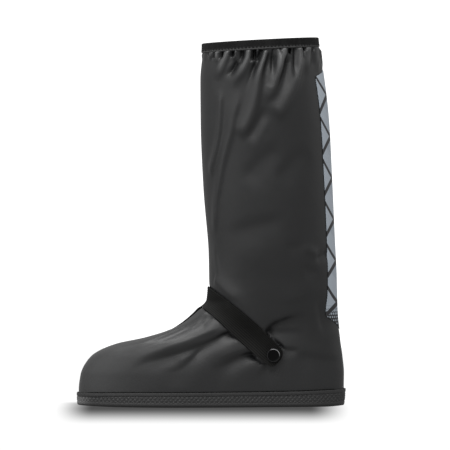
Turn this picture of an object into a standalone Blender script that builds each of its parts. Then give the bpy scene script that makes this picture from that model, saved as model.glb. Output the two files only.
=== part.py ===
"""Motorcycle shoe cover: a tall waterproof overshoe for the left foot, standing empty.

Metres, +Z up. The toe points along -X, the outer side faces -Y, and the floor is Z = 0.
The origin lies on the floor under the middle of the sole's length.
"""

import math
from collections import namedtuple

import bmesh
import bpy
import numpy as np
from mathutils import Matrix, Vector

# Driving dimensions of the cover
LENGTH = 0.300
BALL_WIDTH = 0.106
SHAFT_WIDTH = 0.116
COLLAR_WIDTH = 0.102
WALL = 0.0012
GAP = 0.0003
SEGMENTS = 60

# Sections of the upper, from its lower edge inside the sole to the collar. front and back are set in
# from the two ends of the sole, and each section is the flat cut between its front and back points.
# foot is the share of the footprint's waisted outline, round is the bluntness of each end (2 is an
# ellipse) and rings is the number of rings up to the section from the one before it.
Section = namedtuple(
    "Section", "name front front_z back back_z width foot front_round back_round rings"
)
SECTIONS = [
    Section("feather", 0.0022, 0.0053, 0.0024, 0.0053, BALL_WIDTH, 1.0, 2.7, 2.7, 0),
    Section("rim", 0.0022, 0.0175, 0.0024, 0.0200, BALL_WIDTH, 1.0, 2.7, 2.7, 1),
    Section("toe_wall", 0.0044, 0.0350, 0.0022, 0.0370, BALL_WIDTH, 1.0, 2.7, 2.6, 2),
    Section("toe_shoulder", 0.0160, 0.0547, 0.0038, 0.0545, 0.1035, 0.97, 2.6, 2.5, 2),
    Section("toe_top", 0.0420, 0.0680, 0.0062, 0.0720, 0.0995, 0.90, 2.6, 2.4, 2),
    Section("ball_top", 0.0760, 0.0756, 0.0080, 0.0880, 0.0965, 0.75, 2.55, 2.3, 2),
    Section("vamp", 0.1080, 0.0861, 0.0094, 0.1030, 0.0950, 0.55, 2.5, 2.2, 2),
    Section("instep", 0.1343, 0.1040, 0.0102, 0.1170, 0.0955, 0.35, 2.4, 2.2, 3),
    Section("strap", 0.1468, 0.1180, 0.0106, 0.1300, 0.0970, 0.20, 2.4, 2.1, 2),
    Section("ankle", 0.1480, 0.1360, 0.0110, 0.1470, 0.1000, 0.10, 2.2, 2.1, 2),
    Section("low_shaft", 0.1470, 0.1720, 0.0128, 0.1820, 0.1090, 0.0, 2.0, 2.0, 2),
    Section("mid_shaft", 0.1412, 0.2420, 0.0158, 0.2470, 0.1150, 0.0, 2.0, 2.0, 2),
    Section("high_shaft", 0.1382, 0.3120, 0.0194, 0.3160, SHAFT_WIDTH, 0.0, 2.0, 2.0, 2),
    Section("gathers", 0.1378, 0.3620, 0.0252, 0.3670, 0.1125, 0.0, 2.0, 2.0, 2),
    Section("tape_edge", 0.1404, 0.3920, 0.0307, 0.3988, 0.1030, 0.0, 2.0, 2.0, 3),
    Section("collar", 0.1404, 0.4016, 0.0316, 0.4084, COLLAR_WIDTH, 0.0, 2.0, 2.0, 1),
]

# Footprint: share of the half width on the outer and inner side, and the centre's swing to the
# big toe's side, at stations behind the toe tip
Station = namedtuple("Station", "behind_toe outer inner swing")
FOOTPRINT = [
    Station(0.000, 0.90, 0.86, 0.0070),
    Station(0.045, 0.98, 0.96, 0.0036),
    Station(0.100, 1.01, 0.99, 0.0008),
    Station(0.170, 0.90, 0.80, 0.0),
    Station(0.235, 0.79, 0.77, 0.0),
    Station(0.300, 0.79, 0.79, 0.0),
]

# Gathers that the collar's elastic pulls into the shaft
GATHER_COUNT = 15
GATHER_DEPTH = 0.0019
GATHER_START = 13.28
GATHER_PEAK = 13.67

# Sole: rim height along the cover, and the side's profile from the tread up, over the lip and down
# to the inner floor. out is measured from the upper, and up from the tread or down from the rim.
RIM_HEIGHT = {0.000: 0.0145, 0.060: 0.0160, 0.230: 0.0172, 0.300: 0.0192}
SOLE_FLOOR = 0.0050
TOE_SPRING = 0.0008
TOE_SPRING_RUN = 0.050
HEEL_BEVEL = 0.0008
HEEL_BEVEL_RUN = 0.022
HEEL_FLARE = 0.0012
HEEL_FLARE_RUN = 0.060
Profile = namedtuple("Profile", "out up from_rim")
SOLE_SIDE = [
    Profile(0.0005, 0.0, False),
    Profile(0.0016, 0.0009, False),
    Profile(0.0019, 0.0036, False),
    Profile(0.0012, 0.0044, False),
    Profile(0.0012, -0.0044, True),
    Profile(0.0022, -0.0036, True),
    Profile(0.0022, -0.0006, True),
    Profile(0.0015, 0.0, True),
    Profile(GAP, 0.0, True),
]
GROOVE_WIDTH = 0.0035
GROOVE_DEPTH = 0.0018
GROOVE_MARGIN = 0.011
FOREFOOT_GROOVES = (-0.112, -0.010, 8)
HEEL_GROOVES = (0.076, 0.124, 4)
ARCH_FROM = 0.005
ARCH_TO = 0.062
ARCH_DEPTH = 0.0010

# Binding tape folded over the collar
TAPE_THICKNESS = 0.0009
TAPE_HEIGHT = 0.0092
TAPE_ROUND = 0.0006

# Elastic strap over the instep. In side view its middle line runs from the snap, falls at an angle
# and bows upwards over its run.
SNAP_X = 0.0677
SNAP_Z = 0.0572
STRAP_FALL = math.radians(41.0)
STRAP_RUN = 0.0956
STRAP_BOW = 0.0026
STRAP_WIDTH = 0.0240
STRAP_THICKNESS = 0.0013
STRAP_GAP = 0.0009
STRAP_TAIL = 0.0105
STRAP_CORNER = 0.0060
STRAP_ACROSS = 4
STRAP_ALONG = 42
LIFT_START = -0.036
LIFT_END = -0.009

# Snap fastener: stud through the upper, socket and cap through the strap
SNAP_STEPS = 20
CAP_RADIUS = 0.0075
CAP_HEIGHT = 0.0021
CAP_DISH = 0.0005
RIM_ROUND = 0.0007
POST_RADIUS = 0.0017
POST_HOLE = 0.0021
FLANGE_RADIUS = 0.0046
FLANGE_THICKNESS = 0.0008
STUD_HEAD_RADIUS = 0.0020
STUD_HEAD_TOP = 0.0026
SOCKET_RADIUS = 0.0050
SOCKET_BORE = 0.0024
SOCKET_BOTTOM = 0.0016
SOCKET_TOP = 0.0030
SEAT_GAP = 0.0004

# Reflective strip on the back, with pointed ends
STRIP_TOP_WIDTH = 0.063
STRIP_BOTTOM_WIDTH = 0.056
STRIP_TOP = 0.3740
STRIP_BOTTOM = 0.0850
STRIP_TOP_SLOPE = 0.27
STRIP_BOTTOM_SLOPE = 0.56
STRIP_THICKNESS = 0.0004
STRIP_GAP = 0.0004
STRIP_ACROSS = 8
STRIP_ALONG = 15

RUBBER_BLACK = (0.030, 0.030, 0.031, 1.0)
COATED_BLACK = (0.038, 0.039, 0.041, 1.0)
WEBBING_BLACK = (0.012, 0.012, 0.012, 1.0)
SNAP_BLACK = (0.010, 0.010, 0.010, 1.0)
REFLECTIVE_GREY = (0.30, 0.33, 0.37, 1.0)


def monotone(xs, ys, x):
    """Smooth curve through the points that never swings past them."""
    xs = np.asarray(xs, float)
    ys = np.asarray(ys, float)
    run = np.diff(xs)
    slope = np.diff(ys) / run
    tangent = np.zeros(len(xs))
    same_way = slope[:-1] * slope[1:] > 0
    mean = 2 * slope[:-1] * slope[1:] / np.where(same_way, slope[:-1] + slope[1:], 1.0)
    tangent[1:-1] = np.where(same_way, mean, 0.0)
    tangent[0] = slope[0]
    tangent[-1] = slope[-1]
    x = np.clip(x, xs[0], xs[-1])
    i = np.clip(np.searchsorted(xs, x, side="right") - 1, 0, len(run) - 1)
    s = (x - xs[i]) / run[i]
    h00 = (1 + 2 * s) * (1 - s) ** 2
    h10 = s * (1 - s) ** 2
    h01 = s * s * (3 - 2 * s)
    h11 = s * s * (s - 1)
    return h00 * ys[i] + h01 * ys[i + 1] + run[i] * (h10 * tangent[i] + h11 * tangent[i + 1])


def smoothstep(low, high, x):
    s = np.clip((x - low) / (high - low), 0.0, 1.0)
    return s * s * (3 - 2 * s)


def section_value(column, t):
    """A column of SECTIONS at the level t, where whole numbers are the rows."""
    return monotone(range(len(SECTIONS)), [getattr(row, column) for row in SECTIONS], t)


def footprint(x):
    """Outer and inner share of the half width and the centre's swing, at x."""
    behind_toe = x + LENGTH / 2
    stations = [row.behind_toe for row in FOOTPRINT]
    columns = ("outer", "inner", "swing")
    return [monotone(stations, [getattr(row, c) for row in FOOTPRINT], behind_toe) for c in columns]


def smooth_upper(t, phi):
    """Outer face of the upper, without gathers. phi runs from the toe (0) round the inner side."""
    phi = np.asarray(phi, float)
    u = -np.cos(phi)
    front_x = -LENGTH / 2 + section_value("front", t)
    back_x = LENGTH / 2 - section_value("back", t)
    front_z = section_value("front_z", t)
    back_z = section_value("back_z", t)
    x = (front_x + back_x) / 2 + u * (back_x - front_x) / 2
    z = (front_z + back_z) / 2 + u * (back_z - front_z) / 2
    bluntness = np.where(u < 0, section_value("front_round", t), section_value("back_round", t))
    end = np.clip(1 - np.abs(u) ** bluntness, 0.0, 1.0) ** (1 / bluntness)
    outer, inner, swing = footprint(x)
    foot = section_value("foot", t)
    side = np.where(np.sin(phi) < 0, outer, inner)
    half = section_value("width", t) / 2 * (foot * side + 1 - foot)
    y = foot * swing + np.sign(np.sin(phi)) * half * end
    return np.stack(np.broadcast_arrays(x, y, z), axis=-1)


def upper_normal(t, phi, step=1e-3):
    """Outward direction of the upper's outer face."""
    top = len(SECTIONS) - 1
    around = smooth_upper(t, phi + step) - smooth_upper(t, phi - step)
    along = smooth_upper(np.minimum(t + step, top), phi) - smooth_upper(np.maximum(t - step, 0), phi)
    normal = np.cross(along, around)
    return normal / np.linalg.norm(normal, axis=-1, keepdims=True)


def upper_ring(t, phi):
    """Outer face of the upper with the gathers under the collar's tape."""
    fade = smoothstep(GATHER_START, GATHER_PEAK, t)
    drawn_in = smoothstep(GATHER_PEAK, len(SECTIONS) - 2, t)
    depth = GATHER_DEPTH * fade * (1 - drawn_in)
    return smooth_upper(t, phi) + upper_normal(t, phi) * depth * np.cos(GATHER_COUNT * phi)[..., None]


def bisect(function, low, high, rounds=26):
    """Where a rising function is zero."""
    for _ in range(rounds):
        middle = (low + high) / 2
        if function(middle) < 0:
            low = middle
        else:
            high = middle
    return (low + high) / 2


def around_angles():
    return np.linspace(0.0, 2 * math.pi, SEGMENTS, endpoint=False)


def new_object(name, mesh, collection):
    made = bpy.data.objects.new(name, mesh)
    collection.objects.link(made)
    return made


def loft(name, rings, collection, around=True, wrap=False, bridge_ends=False):
    """Skin over a stack of rings. wrap joins the last ring to the first, and bridge_ends closes both
    end rings with rungs between their two sides."""
    bm = bmesh.new()
    grid = [[bm.verts.new(point) for point in ring] for ring in rings]
    count = len(grid[0])
    pairs = list(zip(grid, grid[1:]))
    if wrap:
        pairs.append((grid[-1], grid[0]))
    for low, high in pairs:
        for j in range(count if around else count - 1):
            k = (j + 1) % count
            bm.faces.new((low[j], low[k], high[k], high[j]))
    if bridge_ends:
        for ring in (grid[0], grid[-1]):
            rungs = [(ring[j], ring[-j]) for j in range(1, count // 2)]
            bm.faces.new((ring[0], *rungs[0]))
            for (a, b), (c, d) in zip(rungs, rungs[1:]):
                bm.faces.new((a, c, d, b))
            bm.faces.new((ring[count // 2], *rungs[-1]))
    bmesh.ops.recalc_face_normals(bm, faces=bm.faces)
    mesh = bpy.data.meshes.new(name)
    bm.to_mesh(mesh)
    bm.free()
    return new_object(name, mesh, collection)


def face_outwards(obj, outward):
    """Turns an open sheet so that its first face looks along outward."""
    if obj.data.polygons[0].normal.dot(Vector(outward)) < 0:
        obj.data.flip_normals()


def thicken(obj, thickness, outwards):
    solidify = obj.modifiers.new("Thickness", "SOLIDIFY")
    solidify.thickness = thickness
    solidify.offset = 1.0 if outwards else -1.0
    solidify.use_even_offset = True


def cut(obj, cutter, name):
    boolean = obj.modifiers.new(name, "BOOLEAN")
    boolean.operation = "DIFFERENCE"
    boolean.object = cutter
    cutter.hide_render = True
    cutter.display_type = "WIRE"


def finish(obj, colour, roughness, metallic=0.0, smooth_angle=40):
    material = bpy.data.materials.new(obj.name)
    material.use_nodes = True
    shader = material.node_tree.nodes["Principled BSDF"]
    shader.inputs["Base Color"].default_value = colour
    shader.inputs["Roughness"].default_value = roughness
    shader.inputs["Metallic"].default_value = metallic
    obj.data.materials.append(material)
    obj.data.shade_smooth()
    obj.data.set_sharp_from_angle(angle=math.radians(smooth_angle))


def ring_levels():
    """The level of each ring: SECTIONS' rows with the rings between them."""
    levels = [0.0]
    for i, row in enumerate(SECTIONS[1:]):
        levels += [i + (j + 1) / row.rings for j in range(row.rings)]
    return levels


def make_upper(collection):
    """Foot and shaft in one skin, open at the collar and under the foot."""
    phi = around_angles()
    upper = loft("upper", [upper_ring(t, phi) for t in ring_levels()], collection)
    thicken(upper, WALL, outwards=False)
    finish(upper, COATED_BLACK, 0.5)
    return upper


def plan_normals(points):
    """Outward direction in plan at each point of a closed outline."""
    along = np.roll(points, -1, axis=0) - np.roll(points, 1, axis=0)
    normal = np.stack([-along[:, 1], along[:, 0], np.zeros(len(points))], axis=-1)
    normal /= np.linalg.norm(normal, axis=-1, keepdims=True)
    outwards = np.sign((normal * (points - points.mean(axis=0))).sum())
    return normal * outwards


def tread_height(x):
    """How far the sole's underside rises off the floor at the toe and the heel."""
    toe = TOE_SPRING * smoothstep(0.0, 1.0, (-LENGTH / 2 + TOE_SPRING_RUN - x) / TOE_SPRING_RUN)
    heel = HEEL_BEVEL * smoothstep(0.0, 1.0, (x - LENGTH / 2 + HEEL_BEVEL_RUN) / HEEL_BEVEL_RUN)
    return toe + heel


def sole_ring(outline, normals, row):
    """One ring of the sole's side. The wall leans out towards the lip at the heel."""
    rim = monotone(list(RIM_HEIGHT), list(RIM_HEIGHT.values()), outline[:, 0] + LENGTH / 2)
    tread = tread_height(outline[:, 0])
    z = rim + row.up if row.from_rim else tread + row.up
    to_heel = smoothstep(LENGTH / 2 - HEEL_FLARE_RUN, LENGTH / 2, outline[:, 0])
    lean = HEEL_FLARE * to_heel * np.clip(z / rim - 1, -1, 0) * (row.out > GAP)
    ring = outline + normals * (row.out + lean)[:, None]
    ring[:, 2] = z
    return ring


def tread_bar(bm, x, width, depth):
    """Block across the sole at x, kept inside its edge, for a groove of that width and depth."""
    outer, inner, swing = footprint(x)
    low_y = swing - outer * BALL_WIDTH / 2 + GROOVE_MARGIN
    high_y = swing + inner * BALL_WIDTH / 2 - GROOVE_MARGIN
    place = Matrix.Translation((x, (low_y + high_y) / 2, 0.0))
    size = Matrix.Diagonal((width, high_y - low_y, 2 * depth, 1.0))
    bmesh.ops.create_cube(bm, size=1.0, matrix=place @ size)


def groove_cutter(collection):
    """Grooves between the lugs of the forefoot and the heel, and the shallow arch between them."""
    bm = bmesh.new()
    for first, last, count in (FOREFOOT_GROOVES, HEEL_GROOVES):
        for x in np.linspace(first, last, count):
            tread_bar(bm, x, GROOVE_WIDTH, GROOVE_DEPTH)
    tread_bar(bm, (ARCH_FROM + ARCH_TO) / 2, ARCH_TO - ARCH_FROM, ARCH_DEPTH)
    mesh = bpy.data.meshes.new("groove_cutter")
    bm.to_mesh(mesh)
    bm.free()
    return new_object("groove_cutter", mesh, collection)


def make_outsole(collection, cutters):
    """Moulded cup sole: tread, banded side wall, lip and inner floor."""
    outline = smooth_upper(0.0, around_angles())
    normals = plan_normals(outline)
    rings = [sole_ring(outline, normals, row) for row in SOLE_SIDE]
    inner_floor = outline + normals * GAP
    inner_floor[:, 2] = SOLE_FLOOR
    rings.append(inner_floor)
    outsole = loft("outsole", rings, collection, bridge_ends=True)
    cut(outsole, groove_cutter(cutters), "Tread grooves")
    finish(outsole, RUBBER_BLACK, 0.6)
    return outsole


def make_binding(collection):
    """Tape folded over the collar's edge: outer leaf, fold and inner leaf."""
    top = len(SECTIONS) - 1
    phi = around_angles()
    edge = smooth_upper(top, phi)
    down = smooth_upper(top - 1, phi) - edge
    down /= np.linalg.norm(down, axis=-1, keepdims=True)
    outward = plan_normals(edge)
    near = GAP
    far = GAP + TAPE_THICKNESS
    inside = -WALL - GAP
    profile = [
        (far, TAPE_HEIGHT),
        (far, -far + TAPE_ROUND),
        (far - TAPE_ROUND, -far),
        (inside - TAPE_THICKNESS + TAPE_ROUND, -far),
        (inside - TAPE_THICKNESS, -far + TAPE_ROUND),
        (inside - TAPE_THICKNESS, TAPE_HEIGHT),
        (inside, TAPE_HEIGHT),
        (inside, -near),
        (near, -near),
        (near, TAPE_HEIGHT),
    ]
    rings = [edge + outward * out + down * drop for out, drop in profile]
    binding = loft("collar_binding", rings, collection, wrap=True)
    finish(binding, WEBBING_BLACK, 0.8)


def strap_place(point):
    """Where a point lies in side view: along the strap past the snap, and across from its middle line."""
    away = point[[0, 2]] - np.array([SNAP_X, SNAP_Z])
    along = away @ np.array([math.cos(STRAP_FALL), -math.sin(STRAP_FALL)])
    across = away @ np.array([math.sin(STRAP_FALL), math.cos(STRAP_FALL)])
    share = -along / STRAP_RUN
    return along, across - 4 * STRAP_BOW * share * (1 - share)


def strap_level(phi, offset):
    """Level t at which the upper at phi crosses the strap's line that is offset from its middle."""
    return bisect(lambda t: strap_place(smooth_upper(t, phi))[1] - offset, 1.0, len(SECTIONS) - 4.0)


def strap_end(side, offset):
    """Angle phi at which the strap's line ends, with the corners of its end rounded."""
    into_corner = max(0.0, abs(offset) - (STRAP_WIDTH / 2 - STRAP_CORNER))
    tail = STRAP_TAIL - STRAP_CORNER + math.sqrt(STRAP_CORNER**2 - into_corner**2)

    def reach(phi):
        point = smooth_upper(strap_level(side * phi, offset), side * phi)
        return strap_place(point)[0] - tail

    return bisect(reach, 0.05, 0.8 * math.pi)


def strap_lift(point, side):
    """How far the strap stands off the upper, where the snap under it holds it up."""
    along, _ = strap_place(point)
    share = smoothstep(LIFT_START, LIFT_END, along) if side < 0 else 0.0
    return STRAP_GAP + (SOCKET_TOP + SEAT_GAP - STRAP_GAP) * share


def make_strap(collection):
    """Band over the instep from the inner side to the snap on the outer side."""
    rows = []
    for offset in np.linspace(-STRAP_WIDTH / 2, STRAP_WIDTH / 2, STRAP_ACROSS + 1):
        outer_end = strap_end(-1, offset)
        inner_end = strap_end(1, offset)
        row = []
        for share in np.linspace(-1.0, 1.0, STRAP_ALONG + 1):
            phi = share * (outer_end if share < 0 else inner_end)
            t = strap_level(phi, offset)
            point = smooth_upper(t, phi)
            row.append(point + upper_normal(t, phi) * strap_lift(point, math.copysign(1, share)))
        rows.append(row)
    strap = loft("instep_strap", rows, collection, around=False)
    face_outwards(strap, upper_normal(strap_level(-1.0, 0.0), -1.0))
    thicken(strap, STRAP_THICKNESS, outwards=True)
    finish(strap, WEBBING_BLACK, 0.85)
    return strap


def snap_frame():
    """Place and direction of the snap: its axis is square to the upper, with z = 0 on the skin."""
    phi = -bisect(lambda angle: smooth_upper(strap_level(-angle, 0.0), -angle)[0] - SNAP_X, 0.05, 2.4)
    t = strap_level(phi, 0.0)
    axis = Vector(upper_normal(t, phi))
    return Matrix.Translation(Vector(smooth_upper(t, phi))) @ axis.to_track_quat("Z", "Y").to_matrix().to_4x4()


def turned(name, profile, frame, collection):
    """Solid of revolution about the snap's axis. The profile runs down its outer side."""
    mesh = bpy.data.meshes.new(name)
    edges = [(i, i + 1) for i in range(len(profile) - 1)]
    mesh.from_pydata([(radius, 0.0, height) for radius, height in profile], edges, [])
    made = new_object(name, mesh, collection)
    made.matrix_world = frame
    screw = made.modifiers.new("Turn", "SCREW")
    screw.axis = "Z"
    screw.steps = SNAP_STEPS
    screw.render_steps = SNAP_STEPS
    screw.use_merge_vertices = True
    screw.merge_threshold = 0.00001
    screw.use_smooth_shade = True
    return made


def make_snap(collection, frame):
    """Stud held in the upper, and socket with cap held in the strap."""
    back = -WALL - SEAT_GAP
    flange_top = SEAT_GAP + FLANGE_THICKNESS
    stud_profile = [
        (0.0, STUD_HEAD_TOP),
        (STUD_HEAD_RADIUS, STUD_HEAD_TOP),
        (STUD_HEAD_RADIUS, flange_top),
        (FLANGE_RADIUS, flange_top),
        (FLANGE_RADIUS, SEAT_GAP),
        (POST_RADIUS, SEAT_GAP),
        (POST_RADIUS, back),
        (FLANGE_RADIUS, back),
        (FLANGE_RADIUS, back - FLANGE_THICKNESS),
        (0.0, back - FLANGE_THICKNESS),
    ]
    stud = turned("snap_stud", stud_profile, frame, collection)
    finish(stud, SNAP_BLACK, 0.35, metallic=0.6)

    under_cap = SOCKET_TOP + SEAT_GAP + STRAP_THICKNESS + SEAT_GAP
    cap_top = under_cap + CAP_HEIGHT
    cap_profile = [
        (0.0, cap_top - CAP_DISH),
        (CAP_RADIUS - 2.4 * RIM_ROUND, cap_top - CAP_DISH),
        (CAP_RADIUS - 1.6 * RIM_ROUND, cap_top),
        (CAP_RADIUS - 0.6 * RIM_ROUND, cap_top - 0.2 * RIM_ROUND),
        (CAP_RADIUS, cap_top - RIM_ROUND),
        (CAP_RADIUS - 0.3 * RIM_ROUND, under_cap),
        (POST_RADIUS, under_cap),
        (POST_RADIUS, SOCKET_TOP),
        (SOCKET_RADIUS, SOCKET_TOP),
        (SOCKET_RADIUS, SOCKET_BOTTOM),
        (SOCKET_BORE, SOCKET_BOTTOM),
        (SOCKET_BORE, STUD_HEAD_TOP + GAP),
        (0.0, STUD_HEAD_TOP + GAP),
    ]
    cap = turned("snap_cap", cap_profile, frame, collection)
    finish(cap, SNAP_BLACK, 0.3, metallic=0.4)


def hole_cutter(frame, collection):
    """Round cutter through the strap and the upper on the snap's axis."""
    reach = 4 * (SOCKET_TOP + STRAP_THICKNESS)
    bpy.ops.mesh.primitive_cylinder_add(vertices=SNAP_STEPS, radius=POST_HOLE, depth=reach)
    cutter = bpy.context.active_object
    cutter.name = "post_hole"
    for held_in in cutter.users_collection:
        held_in.objects.unlink(cutter)
    collection.objects.link(cutter)
    cutter.matrix_world = frame
    return cutter


def strip_point(arc, z):
    """Point and normal on the back of the upper, arc away from the back's middle line, at height z."""
    level = bisect(lambda t: smooth_upper(t, math.pi)[2] - z, 1.0, len(SECTIONS) - 2.0)
    spread = np.linspace(0.0, 1.2, 60)
    outline = smooth_upper(level, math.pi + spread)
    length = np.append(0.0, np.cumsum(np.linalg.norm(np.diff(outline, axis=0), axis=1)))
    phi = math.pi + math.copysign(np.interp(abs(arc), length, spread), arc)
    t = bisect(lambda level: smooth_upper(level, phi)[2] - z, 1.0, len(SECTIONS) - 2.0)
    return smooth_upper(t, phi), upper_normal(t, phi)


def make_strip(collection):
    """Thin reflective film up the back, pointed at both ends."""
    rows = []
    for share in np.linspace(0.0, 1.0, STRIP_ALONG + 1):
        row = []
        width = STRIP_BOTTOM_WIDTH + share * (STRIP_TOP_WIDTH - STRIP_BOTTOM_WIDTH)
        for arc in np.linspace(-width / 2, width / 2, STRIP_ACROSS + 1):
            low = STRIP_BOTTOM + STRIP_BOTTOM_SLOPE * abs(arc)
            high = STRIP_TOP - STRIP_TOP_SLOPE * abs(arc)
            point, normal = strip_point(arc, low + share * (high - low))
            row.append(point + normal * STRIP_GAP)
        rows.append(row)
    strip = loft("reflective_strip", rows, collection, around=False)
    face_outwards(strip, (1.0, 0.0, 0.0))
    thicken(strip, STRIP_THICKNESS, outwards=True)
    finish(strip, REFLECTIVE_GREY, 0.4)


def new_collection(name):
    made = bpy.data.collections.new(name)
    bpy.context.scene.collection.children.link(made)
    return made


def main():
    for obj in list(bpy.data.objects):
        bpy.data.objects.remove(obj)
    parts = new_collection("shoe_cover")
    cutters = new_collection("cutters")
    frame = snap_frame()
    post_hole = hole_cutter(frame, cutters)
    make_outsole(parts, cutters)
    cut(make_upper(parts), post_hole, "Stud hole")
    make_binding(parts)
    cut(make_strap(parts), post_hole, "Cap hole")
    make_snap(parts, frame)
    make_strip(parts)


main()
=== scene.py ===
"""Dresses the motorcycle shoe cover: a tall waterproof overshoe that stands empty on a pale floor.

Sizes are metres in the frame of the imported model: +Z up, the toe along -X, the outer side along -Y.
"""

from __future__ import annotations

import logging
import math
from collections.abc import Callable, Sequence
from dataclasses import dataclass, field
from enum import Enum
from typing import Any, NamedTuple

import bpy
import numpy as np
from mathutils import Matrix, Vector

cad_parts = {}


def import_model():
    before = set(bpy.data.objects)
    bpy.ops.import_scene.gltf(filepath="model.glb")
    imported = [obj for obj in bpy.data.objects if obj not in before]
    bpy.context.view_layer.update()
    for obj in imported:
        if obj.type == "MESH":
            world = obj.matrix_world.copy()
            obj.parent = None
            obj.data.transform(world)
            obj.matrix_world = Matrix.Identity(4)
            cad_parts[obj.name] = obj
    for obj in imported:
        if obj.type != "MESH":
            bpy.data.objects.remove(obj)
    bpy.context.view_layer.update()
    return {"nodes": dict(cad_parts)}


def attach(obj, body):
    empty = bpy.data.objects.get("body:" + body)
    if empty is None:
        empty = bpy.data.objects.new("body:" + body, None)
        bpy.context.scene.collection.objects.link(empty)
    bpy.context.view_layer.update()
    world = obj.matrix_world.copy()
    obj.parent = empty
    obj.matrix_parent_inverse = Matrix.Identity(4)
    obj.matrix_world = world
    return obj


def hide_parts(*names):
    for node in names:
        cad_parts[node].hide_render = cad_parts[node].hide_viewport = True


log = logging.getLogger("shoe_cover")

Array = np.ndarray
Colour = tuple[float, float, float, float]
MM = 0.001
TINY = 1e-6
NO_CREASE = 180.0
BODY = "root"


# Curves and steps


def smoothstep(low: float, high: float, value: Array | float) -> Array | float:
    """Soft step from 0 at low to 1 at high.

    Args:
        low: where the step starts.
        high: where the step ends.
        value: numbers to place on the step.

    Returns:
        The step's height at each value.
    """
    share = np.clip((value - low) / (high - low), 0.0, 1.0)
    return share * share * (3 - 2 * share)


def monotone(xs: Sequence[float], ys: Sequence[float], value: Array | float) -> Array:
    """Smooth curve through points that never swings past them.

    Args:
        xs: places of the points, rising.
        ys: heights of the points.
        value: places to read.

    Returns:
        The curve's height at each value.
    """
    places = np.asarray(xs, float)
    heights = np.asarray(ys, float)
    run = np.diff(places)
    slope = np.diff(heights) / run
    same_way = slope[:-1] * slope[1:] > 0
    total = np.where(same_way, slope[:-1] + slope[1:], 1.0)
    inner = np.where(same_way, 2 * slope[:-1] * slope[1:] / total, 0.0)
    tangent = np.concatenate([slope[:1], inner, slope[-1:]])
    value = np.clip(value, places[0], places[-1])
    i = np.clip(np.searchsorted(places, value, side="right") - 1, 0, len(run) - 1)
    s = (value - places[i]) / run[i]
    value_part = (1 + 2 * s) * (1 - s) ** 2 * heights[i] + s * s * (3 - 2 * s) * heights[i + 1]
    slope_part = s * (1 - s) ** 2 * tangent[i] + s * s * (s - 1) * tangent[i + 1]
    return value_part + run[i] * slope_part


def solve(function: Callable[[Array], Array], low: Array, high: Array, rounds: int = 30) -> Array:
    """Finds where a rising function is zero, for many values at once.

    Args:
        function: rising function of an array.
        low: values where it is below zero.
        high: values where it is above zero.
        rounds: how many times the span is halved.

    Returns:
        The zero of the function for each entry.
    """
    low = np.array(low, float)
    high = np.array(high, float)
    for _ in range(rounds):
        middle = (low + high) / 2
        below = function(middle) < 0
        low = np.where(below, middle, low)
        high = np.where(below, high, middle)
    return (low + high) / 2


def unit(vectors: Array) -> Array:
    """Scales vectors to length 1."""
    return vectors / np.linalg.norm(vectors, axis=-1, keepdims=True)


def run_along(points: Array) -> Array:
    """Distance along lines of points, from 0 at each line's first point."""
    steps = np.linalg.norm(np.diff(points, axis=-2), axis=-1)
    return np.concatenate([np.zeros((*steps.shape[:-1], 1)), np.cumsum(steps, axis=-1)], axis=-1)


def closed(ring: Array) -> Array:
    """A ring of points with its first point again at its end."""
    return np.append(ring, ring[:1], axis=0)


def turns(count: int) -> Array:
    """Angles spread evenly round a circle."""
    return np.linspace(0.0, math.tau, count, endpoint=False)


# Shader graphs


class Wire:
    """A shader socket that Python's operators work on, by adding Math nodes."""

    def __init__(self, graph: Graph, socket: bpy.types.NodeSocket) -> None:
        """Holds a socket of a graph."""
        self.graph = graph
        self.socket = socket

    def maths(self, operation: str, *values: float | Wire) -> Wire:
        """Adds a Math node.

        Args:
            operation: the node's operation.
            values: the node's inputs in order.

        Returns:
            The node's result.
        """
        return self.graph.node("ShaderNodeMath", {"operation": operation}, dict(enumerate(values)))

    def __add__(self, other: float | Wire) -> Wire:
        """Sum."""
        return self.maths("ADD", self, other)

    def __radd__(self, other: float) -> Wire:
        """Sum, number first."""
        return self.maths("ADD", other, self)

    def __sub__(self, other: float | Wire) -> Wire:
        """Difference."""
        return self.maths("SUBTRACT", self, other)

    def __rsub__(self, other: float) -> Wire:
        """Difference, number first."""
        return self.maths("SUBTRACT", other, self)

    def __mul__(self, other: float | Wire) -> Wire:
        """Product."""
        return self.maths("MULTIPLY", self, other)

    def __rmul__(self, other: float) -> Wire:
        """Product, number first."""
        return self.maths("MULTIPLY", other, self)

    def __truediv__(self, other: float | Wire) -> Wire:
        """Quotient."""
        return self.maths("DIVIDE", self, other)

    def __abs__(self) -> Wire:
        """Size without sign."""
        return self.maths("ABSOLUTE", self)

    def wave(self, pitch: float) -> Wire:
        """Wave from 0 to 1 that repeats at each pitch."""
        return 0.5 + 0.5 * self.maths("SINE", self * (math.tau / pitch))

    def fraction(self) -> Wire:
        """What is left after the whole number below."""
        return self.maths("FRACT", self)

    def whole(self) -> Wire:
        """The whole number below."""
        return self.maths("FLOOR", self)

    def most(self, other: float | Wire) -> Wire:
        """The larger of two values."""
        return self.maths("MAXIMUM", self, other)

    def step(self, low: float, high: float) -> Wire:
        """Soft step between two levels.

        Args:
            low: level that gives 0.
            high: level that gives 1.

        Returns:
            The step's height.
        """
        settings = {"interpolation_type": "SMOOTHSTEP"}
        return self.graph.node("ShaderNodeMapRange", settings, {"Value": self, 1: low, 2: high})

    def parts(self) -> tuple[Wire, Wire, Wire]:
        """Splits a vector.

        Returns:
            Its three numbers.
        """
        first = self.graph.node("ShaderNodeSeparateXYZ", {}, {0: self})
        outputs = first.socket.node.outputs
        return first, Wire(self.graph, outputs[1]), Wire(self.graph, outputs[2])


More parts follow.
